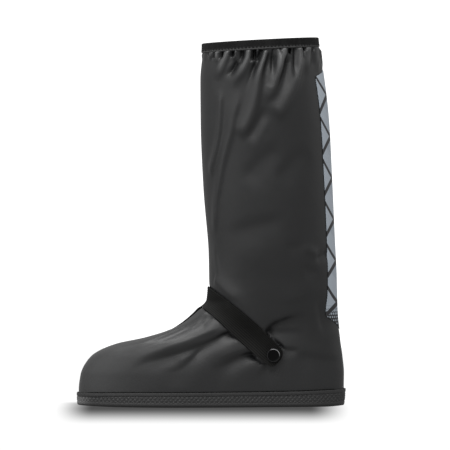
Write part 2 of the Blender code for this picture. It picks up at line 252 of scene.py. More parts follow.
class Graph:
    """A material's node tree, with one method for every kind of node."""

    def __init__(self, name: str) -> None:
        """Makes a material with a Principled shader.

        Args:
            name: the material's name.
        """
        self.material = bpy.data.materials.new(name)
        self.material.use_nodes = True
        self.tree = self.material.node_tree
        self.shader = self.tree.nodes["Principled BSDF"]

    def node(
        self,
        kind: str,
        settings: dict[str, Any],
        inputs: dict[str | int, Any],
        output: str | int = 0,
    ) -> Wire:
        """Adds a node, sets it and feeds it.

        Args:
            kind: the node's type.
            settings: the node's own properties, set first.
            inputs: values or wires for its sockets, by name or number.
            output: which socket to read.

        Returns:
            The chosen output.
        """
        made = self.tree.nodes.new(kind)
        for name, value in settings.items():
            setattr(made, name, value)
        for key, value in inputs.items():
            self.feed(made.inputs[key], value)
        return Wire(self, made.outputs[output])

    def feed(self, socket: bpy.types.NodeSocket, value: Any) -> None:
        """Links a wire to a socket, or sets the socket's own value.

        Args:
            socket: the input.
            value: a wire, a number or a colour.
        """
        if isinstance(value, Wire):
            self.tree.links.new(value.socket, socket)
        else:
            socket.default_value = value

    def finish(self, inputs: dict[str, Any]) -> bpy.types.Material:
        """Feeds the shader.

        Args:
            inputs: values or wires for the Principled shader's sockets.

        Returns:
            The finished material.
        """
        for name, value in inputs.items():
            self.feed(self.shader.inputs[name], value)
        return self.material

    def cover(self, share: Wire, inputs: dict[str, Any]) -> None:
        """Covers the shader with a second one.

        Args:
            share: how much the second one covers.
            inputs: values for the second one's sockets.
        """
        under = Wire(self, self.shader.outputs[0])
        over = self.node("ShaderNodeBsdfPrincipled", {}, inputs)
        both = self.node("ShaderNodeMixShader", {}, {0: share, 1: under, 2: over})
        self.feed(self.tree.nodes["Material Output"].inputs["Surface"], both)

    def place(self) -> Wire:
        """Place on the object, in metres."""
        return self.node("ShaderNodeTexCoord", {}, {}, "Object")

    def flat(self) -> Wire:
        """Flat coordinates of the piece, in metres along and across."""
        return self.node("ShaderNodeUVMap", {"uv_map": Sculpt.FLAT}, {}, "UV")

    def noise(self, size: float, detail: float = 2.0, spread: float = 0.6) -> Wire:
        """Cloudy noise.

        Args:
            size: how large its clouds are, in metres.
            detail: how many finer layers it has.
            spread: how strong the finer layers are.

        Returns:
            A value from 0 to 1.
        """
        inputs = {"Vector": self.place(), "Scale": 1 / size, "Detail": detail, "Roughness": spread}
        return self.node("ShaderNodeTexNoise", {}, inputs)

    def mix(self, share: float | Wire, first: Any, second: Any) -> Wire:
        """Colour between two colours.

        Args:
            share: 0 for the first colour, 1 for the second.
            first: a colour or a wire.
            second: a colour or a wire.

        Returns:
            The mixed colour.
        """
        settings = {"data_type": "RGBA"}
        return self.node("ShaderNodeMix", settings, {0: share, 6: first, 7: second}, 2)

    def bump(self, height: Wire, depth: float, under: Wire | None = None) -> Wire:
        """Relief that only the light sees.

        Args:
            height: the relief, from 0 to 1.
            depth: its depth in metres.
            under: a coarser relief that it lies on.

        Returns:
            The bent normal.
        """
        inputs: dict[str | int, Any] = {"Height": height, "Distance": depth, "Strength": 1.0}
        if under:
            inputs["Normal"] = under
        return self.node("ShaderNodeBump", {}, inputs)


# Meshes


class Sculpt:
    """Gathers the points, faces and flat coordinates of one piece."""

    FLAT = "flat"

    def __init__(self) -> None:
        """Starts with nothing."""
        self.points: list[Array] = []
        self.faces: list[Array] = []
        self.corners: list[Array] = []
        self.slots: list[int] = []
        self.count = 0

    def add_points(self, points: Array) -> Array:
        """Adds points.

        Args:
            points: an array whose last axis is x, y, z.

        Returns:
            Their numbers, in the array's shape.
        """
        shape = points.shape[:-1]
        numbers = np.arange(self.count, self.count + int(np.prod(shape))).reshape(shape)
        self.points.append(points.reshape(-1, 3))
        self.count += numbers.size
        return numbers

    def add_faces(self, faces: Array, slot: int = 0, corners: Array | None = None) -> None:
        """Adds faces with equal numbers of corners.

        Args:
            faces: point numbers, one row for each face.
            slot: the material slot.
            corners: flat coordinates of each face's corners.
        """
        if corners is None:
            corners = np.zeros((*faces.shape, 2))
        self.faces.append(faces)
        self.corners.append(corners)
        self.slots += [slot] * len(faces)

    def skin(
        self,
        numbers: Array,
        around: bool = False,
        flip: bool = False,
        slot: int = 0,
        flat: Array | None = None,
    ) -> None:
        """Covers a grid of points with quads.

        Args:
            numbers: the grid's point numbers, rows by columns.
            around: whether the last column joins the first.
            flip: whether the faces look the other way.
            slot: the material slot.
            flat: flat coordinates of the grid, with one column more where it goes around.
        """
        if around:
            numbers = np.concatenate([numbers, numbers[:, :1]], axis=1)
        grids = [numbers[:-1, :-1], numbers[:-1, 1:], numbers[1:, 1:], numbers[1:, :-1]]
        faces = np.stack([g.ravel() for g in grids], axis=-1)
        corners = None
        if flat is not None:
            cells = [flat[:-1, :-1], flat[:-1, 1:], flat[1:, 1:], flat[1:, :-1]]
            corners = np.stack([c.reshape(-1, 2) for c in cells], axis=1)
        if flip:
            faces = faces[:, ::-1]
            corners = corners[:, ::-1] if corners is not None else None
        self.add_faces(faces, slot, corners)

    def tube(self, middle: Array, first: Array, second: Array, radius: Array, sides: int) -> None:
        """Adds a round tube along a line.

        Args:
            middle: the line's points.
            first: a direction across the line at each point.
            second: the direction whose cross product with the first runs along the line.
            radius: at each point.
            sides: how many sides it has.
        """
        turn = turns(sides)[None, :, None]
        circle = np.cos(turn) * first[:, None] + np.sin(turn) * second[:, None]
        rings = self.add_points(middle[:, None] + circle * radius[:, None, None])
        self.skin(rings, around=True, flip=True)

    def sheet(self, outer: Array, inner: Array, flat: Array) -> None:
        """Adds a closed sheet between two grids of points.

        Args:
            outer: points of the outer face, rows by columns.
            inner: points of the inner face.
            flat: flat coordinates of both.
        """
        near = self.add_points(outer)
        far = self.add_points(inner)
        self.skin(near, flip=True, flat=flat)
        self.skin(far, flat=flat)
        for end in (0, -1):
            self.skin(np.stack([near[end], far[end]]), flip=end != 0, flat=np.stack([flat[end]] * 2))
            side = np.stack([near[:, end], far[:, end]])
            self.skin(side, flip=end == 0, flat=np.stack([flat[:, end]] * 2))

    def build(
        self,
        name: str,
        materials: Sequence[bpy.types.Material],
        crease: float = 60.0,
    ) -> bpy.types.Object:
        """Makes the object.

        Args:
            name: the piece's name.
            materials: one for each slot.
            crease: edges sharper than this angle in degrees stay sharp.

        Returns:
            The new object, linked to the scene.
        """
        mesh = bpy.data.meshes.new(name)
        faces = [face for group in self.faces for face in group.tolist()]
        mesh.from_pydata(np.concatenate(self.points).tolist(), [], faces)
        mesh.polygons.foreach_set("material_index", self.slots)
        layer = mesh.uv_layers.new(name=self.FLAT)
        layer.data.foreach_set("uv", np.concatenate([c.reshape(-1) for c in self.corners]))
        for material in materials:
            mesh.materials.append(material)
        mesh.shade_smooth()
        mesh.set_sharp_from_angle(angle=math.radians(crease))
        made = bpy.data.objects.new(name, mesh)
        bpy.context.scene.collection.objects.link(made)
        return made


def dress(piece: bpy.types.Object, slot: str, *nodes: str) -> bpy.types.Object:
    """Fixes a piece to the cover and reports it.

    Args:
        piece: the finished piece.
        slot: the record's material slot. Not used.
        nodes: the solids that it stands for.

    Returns:
        The same piece.
    """
    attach(piece, BODY)
    if nodes:
        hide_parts(*nodes)
    triangles = sum(len(face.vertices) - 2 for face in piece.data.polygons)
    log.info("%s: %d triangles", piece.name, triangles)
    return piece


# Finishes


@dataclass(frozen=True)
class CoatedSkin:
    """Satin black waterproof coating with fine grain. Its colour paints light and shade: highlights on the
    crests of the shaft's pleats, shade in the hollows of the gathers, and light on the toe.
    """

    dark: Colour = (0.0105, 0.0108, 0.0113, 1.0)
    pale: Colour = (0.0145, 0.0148, 0.0153, 1.0)
    # painted light on the toe: the coat turns paler towards the toe tip
    painted_toe_light: Colour = (0.0310, 0.0314, 0.0318, 1.0)
    painted_toe_light_from: float = -0.050
    painted_toe_light_full: float = -0.135
    # painted highlight on the crests of the folds: full in the gathers, weaker lower on the shaft, none on
    # the foot
    painted_highlight: Colour = (0.0700, 0.0704, 0.0710, 1.0)
    painted_highlight_from: float = 0.0010
    painted_highlight_full: float = 0.0045
    painted_highlight_low: float = 0.18
    shaft_from: float = 0.12
    shaft_full: float = 0.20
    gathers_from: float = 0.355
    gathers_full: float = 0.388
    # painted shade: a dull near-black cover over the deep hollows of the gathers
    painted_hollow_shade: Colour = (0.0010, 0.0010, 0.0010, 1.0)
    painted_hollow_shade_from: float = -0.0006
    painted_hollow_shade_full: float = -0.0034
    painted_hollow_shade_share: float = 0.8
    painted_hollow_shade_low: float = 0.352
    painted_hollow_shade_high: float = 0.394
    painted_hollow_shade_gloss: float = 0.05
    painted_hollow_shade_roughness: float = 0.9
    roughness: float = 0.46
    roughness_swing: float = 0.08
    mottle_size: float = 0.022
    grain_size: float = 0.0011
    grain_depth: float = 0.00005
    ripple_size: float = 0.009
    ripple_depth: float = 0.00016

    def material(self) -> bpy.types.Material:
        """Makes the material. The first flat coordinate is how far a fold stands out.

        Returns:
            The new material.
        """
        graph = Graph("coated_skin")
        x, _, z = graph.place().parts()
        rise, _, _ = graph.flat().parts()
        mottle = graph.noise(self.mottle_size, detail=4.0)
        grain = graph.noise(self.grain_size)
        ripple = graph.bump(graph.noise(self.ripple_size, spread=0.4), self.ripple_depth)
        # painted highlight: crests that stand out are paler, most of all in the gathers
        on_shaft = z.step(self.shaft_from, self.shaft_full)
        gathers = self.painted_highlight_low + (1 - self.painted_highlight_low) * z.step(self.gathers_from, self.gathers_full)
        lightened = rise.step(self.painted_highlight_from, self.painted_highlight_full) * on_shaft * gathers
        coat = graph.mix(lightened, graph.mix(mottle, self.dark, self.pale), self.painted_highlight)
        # painted shade in the hollows of the gathers
        hollow = self.painted_hollow_shade_share * rise.step(self.painted_hollow_shade_from, self.painted_hollow_shade_full)
        graph.cover(
            hollow * z.step(self.painted_hollow_shade_low, self.painted_hollow_shade_high),
            {
                "Base Color": self.painted_hollow_shade,
                "Roughness": self.painted_hollow_shade_roughness,
                "Specular IOR Level": self.painted_hollow_shade_gloss,
            },
        )
        return graph.finish(
            {
                # painted light on the toe, mixed over the coat
                "Base Color": graph.mix(x.step(self.painted_toe_light_from, self.painted_toe_light_full), coat, self.painted_toe_light),
                "Roughness": self.roughness + self.roughness_swing * (mottle - 0.5),
                "Normal": graph.bump(grain, self.grain_depth, ripple),
            }
        )


@dataclass(frozen=True)
class KnitLining:
    """Dull dark knit on the inside of the skin."""

    dark: Colour = (0.016, 0.016, 0.017, 1.0)
    pale: Colour = (0.036, 0.036, 0.038, 1.0)
    roughness: float = 0.9
    stitch_size: float = 0.0016
    depth: float = 0.00012

    def material(self) -> bpy.types.Material:
        """Makes the material.

        Returns:
            The new material.
        """
        graph = Graph("knit_lining")
        inputs = {"Vector": graph.place(), "Scale": 1 / self.stitch_size}
        knit = graph.node("ShaderNodeTexVoronoi", {}, inputs)
        return graph.finish(
            {
                "Base Color": graph.mix(knit, self.pale, self.dark),
                "Roughness": self.roughness,
                "Normal": graph.bump(1 - knit, self.depth),
            }
        )


@dataclass(frozen=True)
class MouldedRubber:
    """Matte moulded rubber with a fine pebble, with painted light at the toe and painted shade along the
    ground.
    """

    dark: Colour = (0.018, 0.018, 0.0185, 1.0)
    pale: Colour = (0.031, 0.031, 0.031, 1.0)
    # painted light at the toe end, below the lip
    painted_toe_light: Colour = (0.130, 0.130, 0.130, 1.0)
    painted_toe_light_from: float = -0.130
    painted_toe_light_full: float = -0.150
    painted_toe_light_top: float = 0.0112
    painted_toe_light_soft: float = 0.0015
    # painted shade: darker along the bottom edge, where the sole meets the floor
    painted_contact_shade: Colour = (0.0020, 0.0020, 0.0020, 1.0)
    painted_contact_shade_full: float = 0.0012
    painted_contact_shade_to: float = 0.0036
    roughness: float = 0.58
    roughness_swing: float = 0.14
    cloud_size: float = 0.014
    pebble_size: float = 0.0007
    pebble_depth: float = 0.00005

    def material(self) -> bpy.types.Material:
        """Makes the material.

        Returns:
            The new material.
        """
        graph = Graph("sole_rubber")
        x, _, z = graph.place().parts()
        cloud = graph.noise(self.cloud_size, detail=4.0)
        pebble = graph.noise(self.pebble_size)
        # painted light at the toe end, below the lip
        below_lip = z.step(self.painted_toe_light_top, self.painted_toe_light_top - self.painted_toe_light_soft)
        painted_toe_light_mask = x.step(self.painted_toe_light_from, self.painted_toe_light_full) * below_lip
        rubber = graph.mix(painted_toe_light_mask, graph.mix(cloud, self.dark, self.pale), self.painted_toe_light)
        return graph.finish(
            {
                # painted shade along the bottom edge
                "Base Color": graph.mix(z.step(self.painted_contact_shade_full, self.painted_contact_shade_to), self.painted_contact_shade, rubber),
                "Roughness": self.roughness + self.roughness_swing * (cloud - 0.5),
                "Normal": graph.bump(pebble, self.pebble_depth),
            }
        )


@dataclass(frozen=True)
class PaintedShadeBlack:
    """Dull near-black that paints the shade in the joint of the upper and the sole, and deep in the pinched
    fold on the instep.
    """

    colour: Colour = (0.0025, 0.0025, 0.0025, 1.0)
    roughness: float = 0.8
    sheen: float = 0.1

    def material(self) -> bpy.types.Material:
        """Makes the material."""
        shader = {"Base Color": self.colour, "Roughness": self.roughness, "Specular IOR Level": self.sheen}
        return Graph("painted_shade_black").finish(shader)


@dataclass(frozen=True)
class WovenElastic:
    """Black elastic webbing: fine picks across the modelled ribs, paler along its lower edge."""

    dark: Colour = (0.0010, 0.0010, 0.0010, 1.0)
    pale: Colour = (0.0150, 0.0150, 0.0140, 1.0)
    lightened: Colour = (0.0300, 0.0300, 0.0290, 1.0)
    lightened_from: float = 0.004
    lightened_full: float = -0.012
    roughness: float = 0.7
    sheen: float = 0.08
    pick: float = 0.0013
    pick_floor: float = 0.35
    rib: float = 0.0020
    rib_floor: float = 0.3
    rib_full: float = 0.8
    depth: float = 0.00025

    def material(self) -> bpy.types.Material:
        """Makes the material. Flat coordinates run along the strap and across from its middle.

        Returns:
            The new material.
        """
        graph = Graph("elastic_webbing")
        along, across, _ = graph.flat().parts()
        rib = across / self.rib
        stagger = self.pick * (rib.whole() / 2).fraction()
        picks = self.pick_floor + (1 - self.pick_floor) * (along + stagger).wave(self.pick)
        ribs = (1 - 2 * abs(rib.fraction() - 0.5)).step(0.0, self.rib_full)
        weave = picks * (self.rib_floor + (1 - self.rib_floor) * ribs)
        yarn = graph.mix(across.step(self.lightened_from, self.lightened_full), self.pale, self.lightened)
        return graph.finish(
            {
                "Base Color": graph.mix(weave, self.dark, yarn),
                "Roughness": self.roughness,
                "Specular IOR Level": self.sheen,
                "Normal": graph.bump(weave, self.depth),
            }
        )


@dataclass(frozen=True)
class BindingTape:
    """Matte black tape with a slanted weave and a painted highlight along its sewn edge."""

    dark: Colour = (0.0020, 0.0020, 0.0020, 1.0)
    pale: Colour = (0.0135, 0.0135, 0.0135, 1.0)
    # painted highlight along the tape's lower edge
    painted_highlight: Colour = (0.060, 0.060, 0.060, 1.0)
    roughness: float = 0.7
    sheen: float = 0.2
    pitch: float = 0.0012
    slant: float = 1.0
    depth: float = 0.00016
    twill_share: float = 0.7
    cloud_size: float = 0.010
    cloud_from: float = 0.35
    cloud_full: float = 0.7
    cloud_floor: float = 0.2
    painted_highlight_from: float = 0.0012
    painted_highlight_to: float = 0.0032

    def material(self) -> bpy.types.Material:
        """Makes the material. Flat coordinates run along the tape and across from its outer edge.

        Returns:
            The new material.
        """
        graph = Graph("binding_tape")
        along, across, _ = graph.flat().parts()
        twill = (along + self.slant * across).wave(self.pitch)
        weave = self.twill_share * twill + (1 - self.twill_share) * across.wave(self.pitch)
        cloud = graph.noise(self.cloud_size, detail=3.0).step(self.cloud_from, self.cloud_full)
        cloudy = self.cloud_floor + (1 - self.cloud_floor) * cloud
        cloth = graph.mix(weave * cloudy, self.dark, self.pale)
        return graph.finish(
            {
                # painted highlight along the lower edge
                "Base Color": graph.mix(across.step(self.painted_highlight_to, self.painted_highlight_from), cloth, self.painted_highlight),
                "Roughness": self.roughness,
                "Specular IOR Level": self.sheen,
                "Normal": graph.bump(weave, self.depth),
            }
        )


@dataclass(frozen=True)
class SewingThread:
    """Dull black thread with a twist."""

    dark: Colour = (0.0015, 0.0015, 0.0015, 1.0)
    pale: Colour = (0.0060, 0.0060, 0.0060, 1.0)
    roughness: float = 0.6
    sheen: float = 0.1
    twist: float = 0.0005
    lean: float = 2.0
    depth: float = 0.00006

    def material(self) -> bpy.types.Material:
        """Makes the material.

        Returns:
            The new material.
        """
        graph = Graph("sewing_thread")
        x, y, z = graph.place().parts()
        twist = (x + y + self.lean * z).wave(self.twist)
        return graph.finish(
            {
                "Base Color": graph.mix(twist, self.dark, self.pale),
                "Roughness": self.roughness,
                "Specular IOR Level": self.sheen,
                "Normal": graph.bump(twist, self.depth),
            }
        )


@dataclass(frozen=True)
class BlackEnamel:
    """Glossy black enamel on a snap, with a painted glint on one side of its rim."""

    colour: Colour = (0.0030, 0.0030, 0.0032, 1.0)
    # painted glint: pale metallic colour on the upper-right side of the rim
    painted_glint: Colour = (0.55, 0.55, 0.56, 1.0)
    roughness: float = 0.22
    sheen: float = 0.08
    painted_glint_roughness: float = 0.25
    rim_from: float = 0.00640
    rim_to: float = 0.00680
    rim_end: float = 0.00750
    painted_glint_from: float = 0.30
    painted_glint_full: float = 0.95
    least_painted_glint: float = 0.05

    def material(self) -> bpy.types.Material:
        """Makes the material. Flat coordinates: distance from the axis, and nearness to the side with the
        painted glint.

        Returns:
            The new material.
        """
        graph = Graph("snap_black")
        radius, turn, _ = graph.flat().parts()
        on_rim = radius.step(self.rim_from, self.rim_to) * (1 - radius.step(self.rim_to, self.rim_end))
        # painted glint on one side of the rim, with a little of it all round
        lightened = on_rim * (self.least_painted_glint + (1 - self.least_painted_glint) * turn.step(self.painted_glint_from, self.painted_glint_full))
        return graph.finish(
            {
                "Base Color": graph.mix(lightened, self.colour, self.painted_glint),
                "Metallic": lightened,
                "Roughness": self.roughness + (self.painted_glint_roughness - self.roughness) * lightened,
                "Specular IOR Level": self.sheen,
            }
        )


@dataclass(frozen=True)
class ReflectiveFilm:
    """Grey reflective film printed with black chevrons and a zigzag between them."""

    pale: Colour = (0.448, 0.502, 0.560, 1.0)
    deep: Colour = (0.362, 0.412, 0.468, 1.0)
    ink: Colour = (0.022, 0.022, 0.024, 1.0)
    roughness: float = 0.42
    ink_roughness: float = 0.55
    back_radius: float = 0.046
    chevron_pitch: float = 0.046
    chevron_slope: float = 1.7
    chevron_line: float = 0.0064
    cross_slope: float = -1.9
    cross_line: float = 0.0052
    blur: float = 0.0003
    speck_pitch: float = 0.0036
    specks_small: float = 0.096
    specks_whole: float = 0.126
    speck_least: float = 0.06
    speck_growth: float = 0.60
    speck_edge: tuple[float, float] = (0.8, 1.2)
    tone_steps: tuple[float, float] = (0.37, 0.61)
    bead_size: float = 0.0006
    bead_depth: float = 0.00003

    def stripe(self, place: Wire, pitch: float, width: float) -> Wire:
        """Mask of lines that repeat.

        Args:
            place: distance across the lines, in metres.
            pitch: from line to line.
            width: of each line.

        Returns:
            1 on a line and 0 off it.
        """
        away = abs((place / pitch).fraction() - 0.5) * pitch
        return 1 - away.step(width / 2 - self.blur, width / 2 + self.blur)

    def material(self) -> bpy.types.Material:
        """Makes the material. Flat coordinates are the arc from the back's middle and the height.

        Returns:
            The new material.
        """
        graph = Graph("reflective_film")
        arc, height, _ = graph.flat().parts()
        depth = arc * arc / (2 * self.back_radius)
        rising = height + depth * self.chevron_slope
        falling = height + depth * self.cross_slope
        chevrons = self.stripe(rising, self.chevron_pitch, self.chevron_line)
        crossing = self.stripe(falling, self.chevron_pitch, self.cross_line)
        row = height / self.speck_pitch
        across = (arc / self.speck_pitch + row.whole() / 2).fraction() - 0.5
        upright = row.fraction() - 0.5
        reach = self.speck_least + self.speck_growth * height.step(self.specks_small, self.specks_whole)
        specks = ((across * across + upright * upright) / reach).step(*self.speck_edge)
        ink = chevrons.most(crossing).most(specks)
        band = (rising / self.chevron_pitch + 0.5).whole() * self.tone_steps[0]
        tone = (band + (falling / self.chevron_pitch).whole() * self.tone_steps[1]).fraction()
        beads = graph.noise(self.bead_size, detail=1.0, spread=0.5)
        film = graph.mix(tone, self.pale, self.deep)
        return graph.finish(
            {
                "Base Color": graph.mix(ink, film, self.ink),
                "Roughness": self.roughness + (self.ink_roughness - self.roughness) * ink,
                "Normal": graph.bump(beads, self.bead_depth),
            }
        )


@dataclass(frozen=True)
class PaleFloor:
    """White studio floor with a painted soft shadow round the sole."""

    white: Colour = (1.05, 1.05, 1.05, 1.0)
    shade: Colour = (0.085, 0.085, 0.085, 1.0)
    toe_end: tuple[float, float] = (-0.177, -0.130)
    heel_end: tuple[float, float] = (0.108, 0.159)
    behind: tuple[float, float] = (0.030, 0.100)
    drop: float = 0.0168

    def material(self) -> bpy.types.Material:
        """Makes the material. The shade fades past the toe, past the heel, behind and down the apron.

        Returns:
            The new material.
        """
        graph = Graph("pale_floor")
        x, y, z = graph.place().parts()
        along = x.step(*self.toe_end) * (1 - x.step(*self.heel_end))
        across = (1 - y.step(*self.behind)) * (1 - (0 - z).step(0.0, self.drop))
        return graph.finish(
            {
                "Base Color": (0.0, 0.0, 0.0, 1.0),
                "Specular IOR Level": 0.0,
                # painted shadow round the sole, in the floor's glow
                "Emission Color": graph.mix(along * across, self.white, self.shade),
                "Emission Strength": 1.0,
            }
        )


# Form of the last


class Section(NamedTuple):
    """A cut through the upper between a front and a back point, set in from the sole's two ends."""

    name: str
    front: float
    front_z: float
    back: float
    back_z: float
    width: float
    foot: float
    front_round: float
    back_round: float


class Station(NamedTuple):
    """Shares of the half width at a distance behind the toe, and the swing to the big toe's side."""

    behind_toe: float
    outer: float
    inner: float
    swing: float


class Side(Enum):
    """Sides of the foot, as the sign of y."""

    OUTER = -1
    INNER = 1


BALL_WIDTH = 0.106

SECTIONS = (
    Section("feather", 0.0022, 0.0053, 0.0024, 0.0053, BALL_WIDTH, 1.0, 2.7, 2.7),
    Section("rim", 0.0022, 0.0175, 0.0024, 0.0200, BALL_WIDTH, 1.0, 2.7, 2.7),
    Section("toe_wall", 0.0044, 0.0350, 0.0022, 0.0370, BALL_WIDTH, 1.0, 2.7, 2.6),
    Section("toe_shoulder", 0.0160, 0.0547, 0.0038, 0.0545, 0.1035, 0.97, 2.6, 2.5),
    Section("toe_top", 0.0420, 0.0680, 0.0062, 0.0720, 0.0995, 0.90, 2.6, 2.4),
    Section("ball_top", 0.0760, 0.0756, 0.0080, 0.0880, 0.0965, 0.75, 2.55, 2.3),
    Section("vamp", 0.1080, 0.0861, 0.0094, 0.1030, 0.0950, 0.55, 2.5, 2.2),
    Section("instep", 0.1343, 0.1040, 0.0102, 0.1170, 0.0955, 0.35, 2.4, 2.2),
    Section("strap", 0.1468, 0.1180, 0.0106, 0.1300, 0.0970, 0.20, 2.4, 2.1),
    Section("ankle", 0.1480, 0.1360, 0.0110, 0.1470, 0.1000, 0.10, 2.2, 2.1),
    Section("low_shaft", 0.1470, 0.1720, 0.0128, 0.1820, 0.1090, 0.0, 2.0, 2.0),
    Section("mid_shaft", 0.1412, 0.2420, 0.0158, 0.2470, 0.1150, 0.0, 2.0, 2.0),
    Section("high_shaft", 0.1382, 0.3120, 0.0194, 0.3160, 0.1160, 0.0, 2.0, 2.0),
    Section("gathers", 0.1378, 0.3620, 0.0252, 0.3670, 0.1125, 0.0, 2.0, 2.0),
    Section("tape_edge", 0.1404, 0.3920, 0.0307, 0.3988, 0.1030, 0.0, 2.0, 2.0),
    Section("collar", 0.1404, 0.4016, 0.0316, 0.4084, 0.1020, 0.0, 2.0, 2.0),
)

FOOTPRINT = (
    Station(0.000, 0.90, 0.86, 0.0070),
    Station(0.045, 0.98, 0.96, 0.0036),
    Station(0.100, 1.01, 0.99, 0.0008),
    Station(0.170, 0.90, 0.80, 0.0),
    Station(0.235, 0.79, 0.77, 0.0),
    Station(0.300, 0.79, 0.79, 0.0),
)


@dataclass(frozen=True)
class Last:
    """The form that the cover is made over, as a function of level and angle."""

    length: float = 0.300
    sections: tuple[Section, ...] = SECTIONS
    footprint: tuple[Station, ...] = FOOTPRINT
    step: float = 1e-3

    @property
    def top(self) -> float:
        """Level of the collar."""
        return float(len(self.sections) - 1)

    @property
    def tape(self) -> float:
        """Level of the tape's lower edge, one section under the collar."""
        return self.top - 1

    def column(self, name: str, level: Array | float) -> Array:
        """A column of the sections at a level, where whole numbers are the rows."""
        return monotone(range(len(self.sections)), [getattr(s, name) for s in self.sections], level)

    def station(self, name: str, x: Array) -> Array:
        """A column of the footprint at x."""
        places = [s.behind_toe for s in self.footprint]
        return monotone(places, [getattr(s, name) for s in self.footprint], x + self.length / 2)

    def spine(self, level: Array) -> tuple[Array, Array, Array, Array]:
        """Middle and half run of a section.

        Args:
            level: place among the sections.

        Returns:
            Middle x, half run in x, middle z and half rise in z.
        """
        front_x = -self.length / 2 + self.column("front", level)
        back_x = self.length / 2 - self.column("back", level)
        front_z = self.column("front_z", level)
        back_z = self.column("back_z", level)
        return (front_x + back_x) / 2, (back_x - front_x) / 2, (front_z + back_z) / 2, (back_z - front_z) / 2

    def point(self, level: Array | float, angle: Array | float) -> Array:
        """Outer face of the upper.

        Args:
            level: place among the sections.
            angle: 0 at the toe, rising round the inner side.

        Returns:
            Points, one for each pair.
        """
        level, angle = np.broadcast_arrays(np.asarray(level, float), np.asarray(angle, float))
        u = -np.cos(angle)
        middle_x, run, middle_z, rise = self.spine(level)
        x = middle_x + u * run
        blunt = np.where(u < 0, self.column("front_round", level), self.column("back_round", level))
        end = np.clip(1 - np.abs(u) ** blunt, 0.0, 1.0) ** (1 / blunt)
        foot = self.column("foot", level)
        side = np.where(np.sin(angle) < 0, self.station("outer", x), self.station("inner", x))
        half = self.column("width", level) / 2 * (foot * side + 1 - foot)
        y = foot * self.station("swing", x) + np.sign(np.sin(angle)) * half * end
        return np.stack([x, y, middle_z + u * rise], axis=-1)

    def normal(self, level: Array | float, angle: Array | float) -> Array:
        """Outward direction of the upper.

        Args:
            level: place among the sections.
            angle: 0 at the toe, rising round the inner side.

        Returns:
            Unit vectors, one for each pair.
        """
        level, angle = np.broadcast_arrays(np.asarray(level, float), np.asarray(angle, float))
        around = self.point(level, angle + self.step) - self.point(level, angle - self.step)
        higher = self.point(np.minimum(level + self.step, self.top), angle)
        lower = self.point(np.maximum(level - self.step, 0.0), angle)
        return unit(np.cross(higher - lower, around))

    def from_side(self, x: Array, z: Array, side: Side) -> tuple[Array, Array]:
        """Level and angle of what shows at x and z in side view.

        Args:
            x: places along the foot.
            z: heights.
            side: which side is looked at.

        Returns:
            Levels and angles.
        """
        x = np.asarray(x, float)
        z = np.asarray(z, float)

        def share(level: Array) -> Array:
            """Place along the section from -1 to 1."""
            middle_x, run, _, _ = self.spine(level)
            return np.clip((x - middle_x) / run, -1.0, 1.0)

        def height(level: Array) -> Array:
            """Height above z."""
            _, _, middle_z, rise = self.spine(level)
            return middle_z + share(level) * rise - z

        level = solve(height, np.zeros_like(x), np.full_like(x, self.top))
        return level, side.value * np.arccos(-share(level))

    def plan_normals(self, outline: Array) -> Array:
        """Outward directions in plan along a closed outline.

        Args:
            outline: its points.

        Returns:
            Unit vectors, one for each point.
        """
        along = np.roll(outline, -1, axis=0) - np.roll(outline, 1, axis=0)
        across = np.stack([-along[:, 1], along[:, 0], np.zeros(len(outline))], axis=-1)
        outwards = np.sign((across * (outline - outline.mean(axis=0))).sum())
        return unit(across) * outwards


# Folds


class Crease(Enum):
    """How sharply a fold bends: the power of its bell curve."""

    SOFT = 2.0
    CRISP = 1.3


class Fold(NamedTuple):
    """A trough or ridge in the skin.

    Sizes are millimetres, and a trough has a negative height. The width goes over into the spread along the
    route. The fades are shares of the route at its start and end.
    """

    name: str
    height: float
    width: float
    spread: float
    fade: tuple[float, float]
    route: tuple[tuple[float, float], ...]
    crease: Crease = Crease.SOFT


# Pockets that the elastic tape draws in, as (x, z) where the camera sees them on the middle plane
POCKETS = (
    Fold("edge_pocket", -3.2, 1.3, 1.5, (0.0, 0.5), ((-3, 394), (-3.5, 386))),
    Fold("first_pocket", -4.2, 1.4, 1.8, (0.0, 0.4), ((3.2, 396), (3, 389), (2.5, 384))),
    Fold("second_pocket", -5.0, 1.7, 2.2, (0.0, 0.35), ((12, 396), (12, 390), (11.5, 384.5))),
    Fold("cup_pocket", -4.6, 1.8, 2.4, (0.0, 0.35), ((23.3, 397), (23.5, 391), (23.6, 387))),
    Fold("broad_pocket", -4.0, 3.4, 3.8, (0.0, 0.6), ((34.4, 398), (34, 391), (32.5, 383), (31, 376))),
    Fold("deep_pocket", -4.8, 2.0, 2.8, (0.0, 0.3), ((48, 398), (47.8, 391), (47, 383))),
    Fold("notch", -2.6, 1.1, 1.1, (0.0, 0.5), ((61.2, 399), (61.2, 395))),
    Fold("wide_notch", -5.0, 1.5, 1.5, (0.0, 0.6), ((76.8, 401), (76.8, 394))),
    Fold("round_pocket", -5.0, 1.8, 2.4, (0.0, 0.4), ((88, 401), (88.3, 395), (88.5, 390))),
    Fold("slim_pocket", -2.0, 1.2, 1.4, (0.0, 0.6), ((102, 400), (102.3, 392), (102.5, 384))),
    Fold("back_pocket", -5.0, 1.8, 2.0, (0.0, 0.5), ((103.8, 402), (103.8, 398), (103.5, 394))),
    Fold("far_pocket", -4.6, 1.8, 2.0, (0.0, 0.5), ((112.7, 402), (113.2, 398), (114, 393))),
)

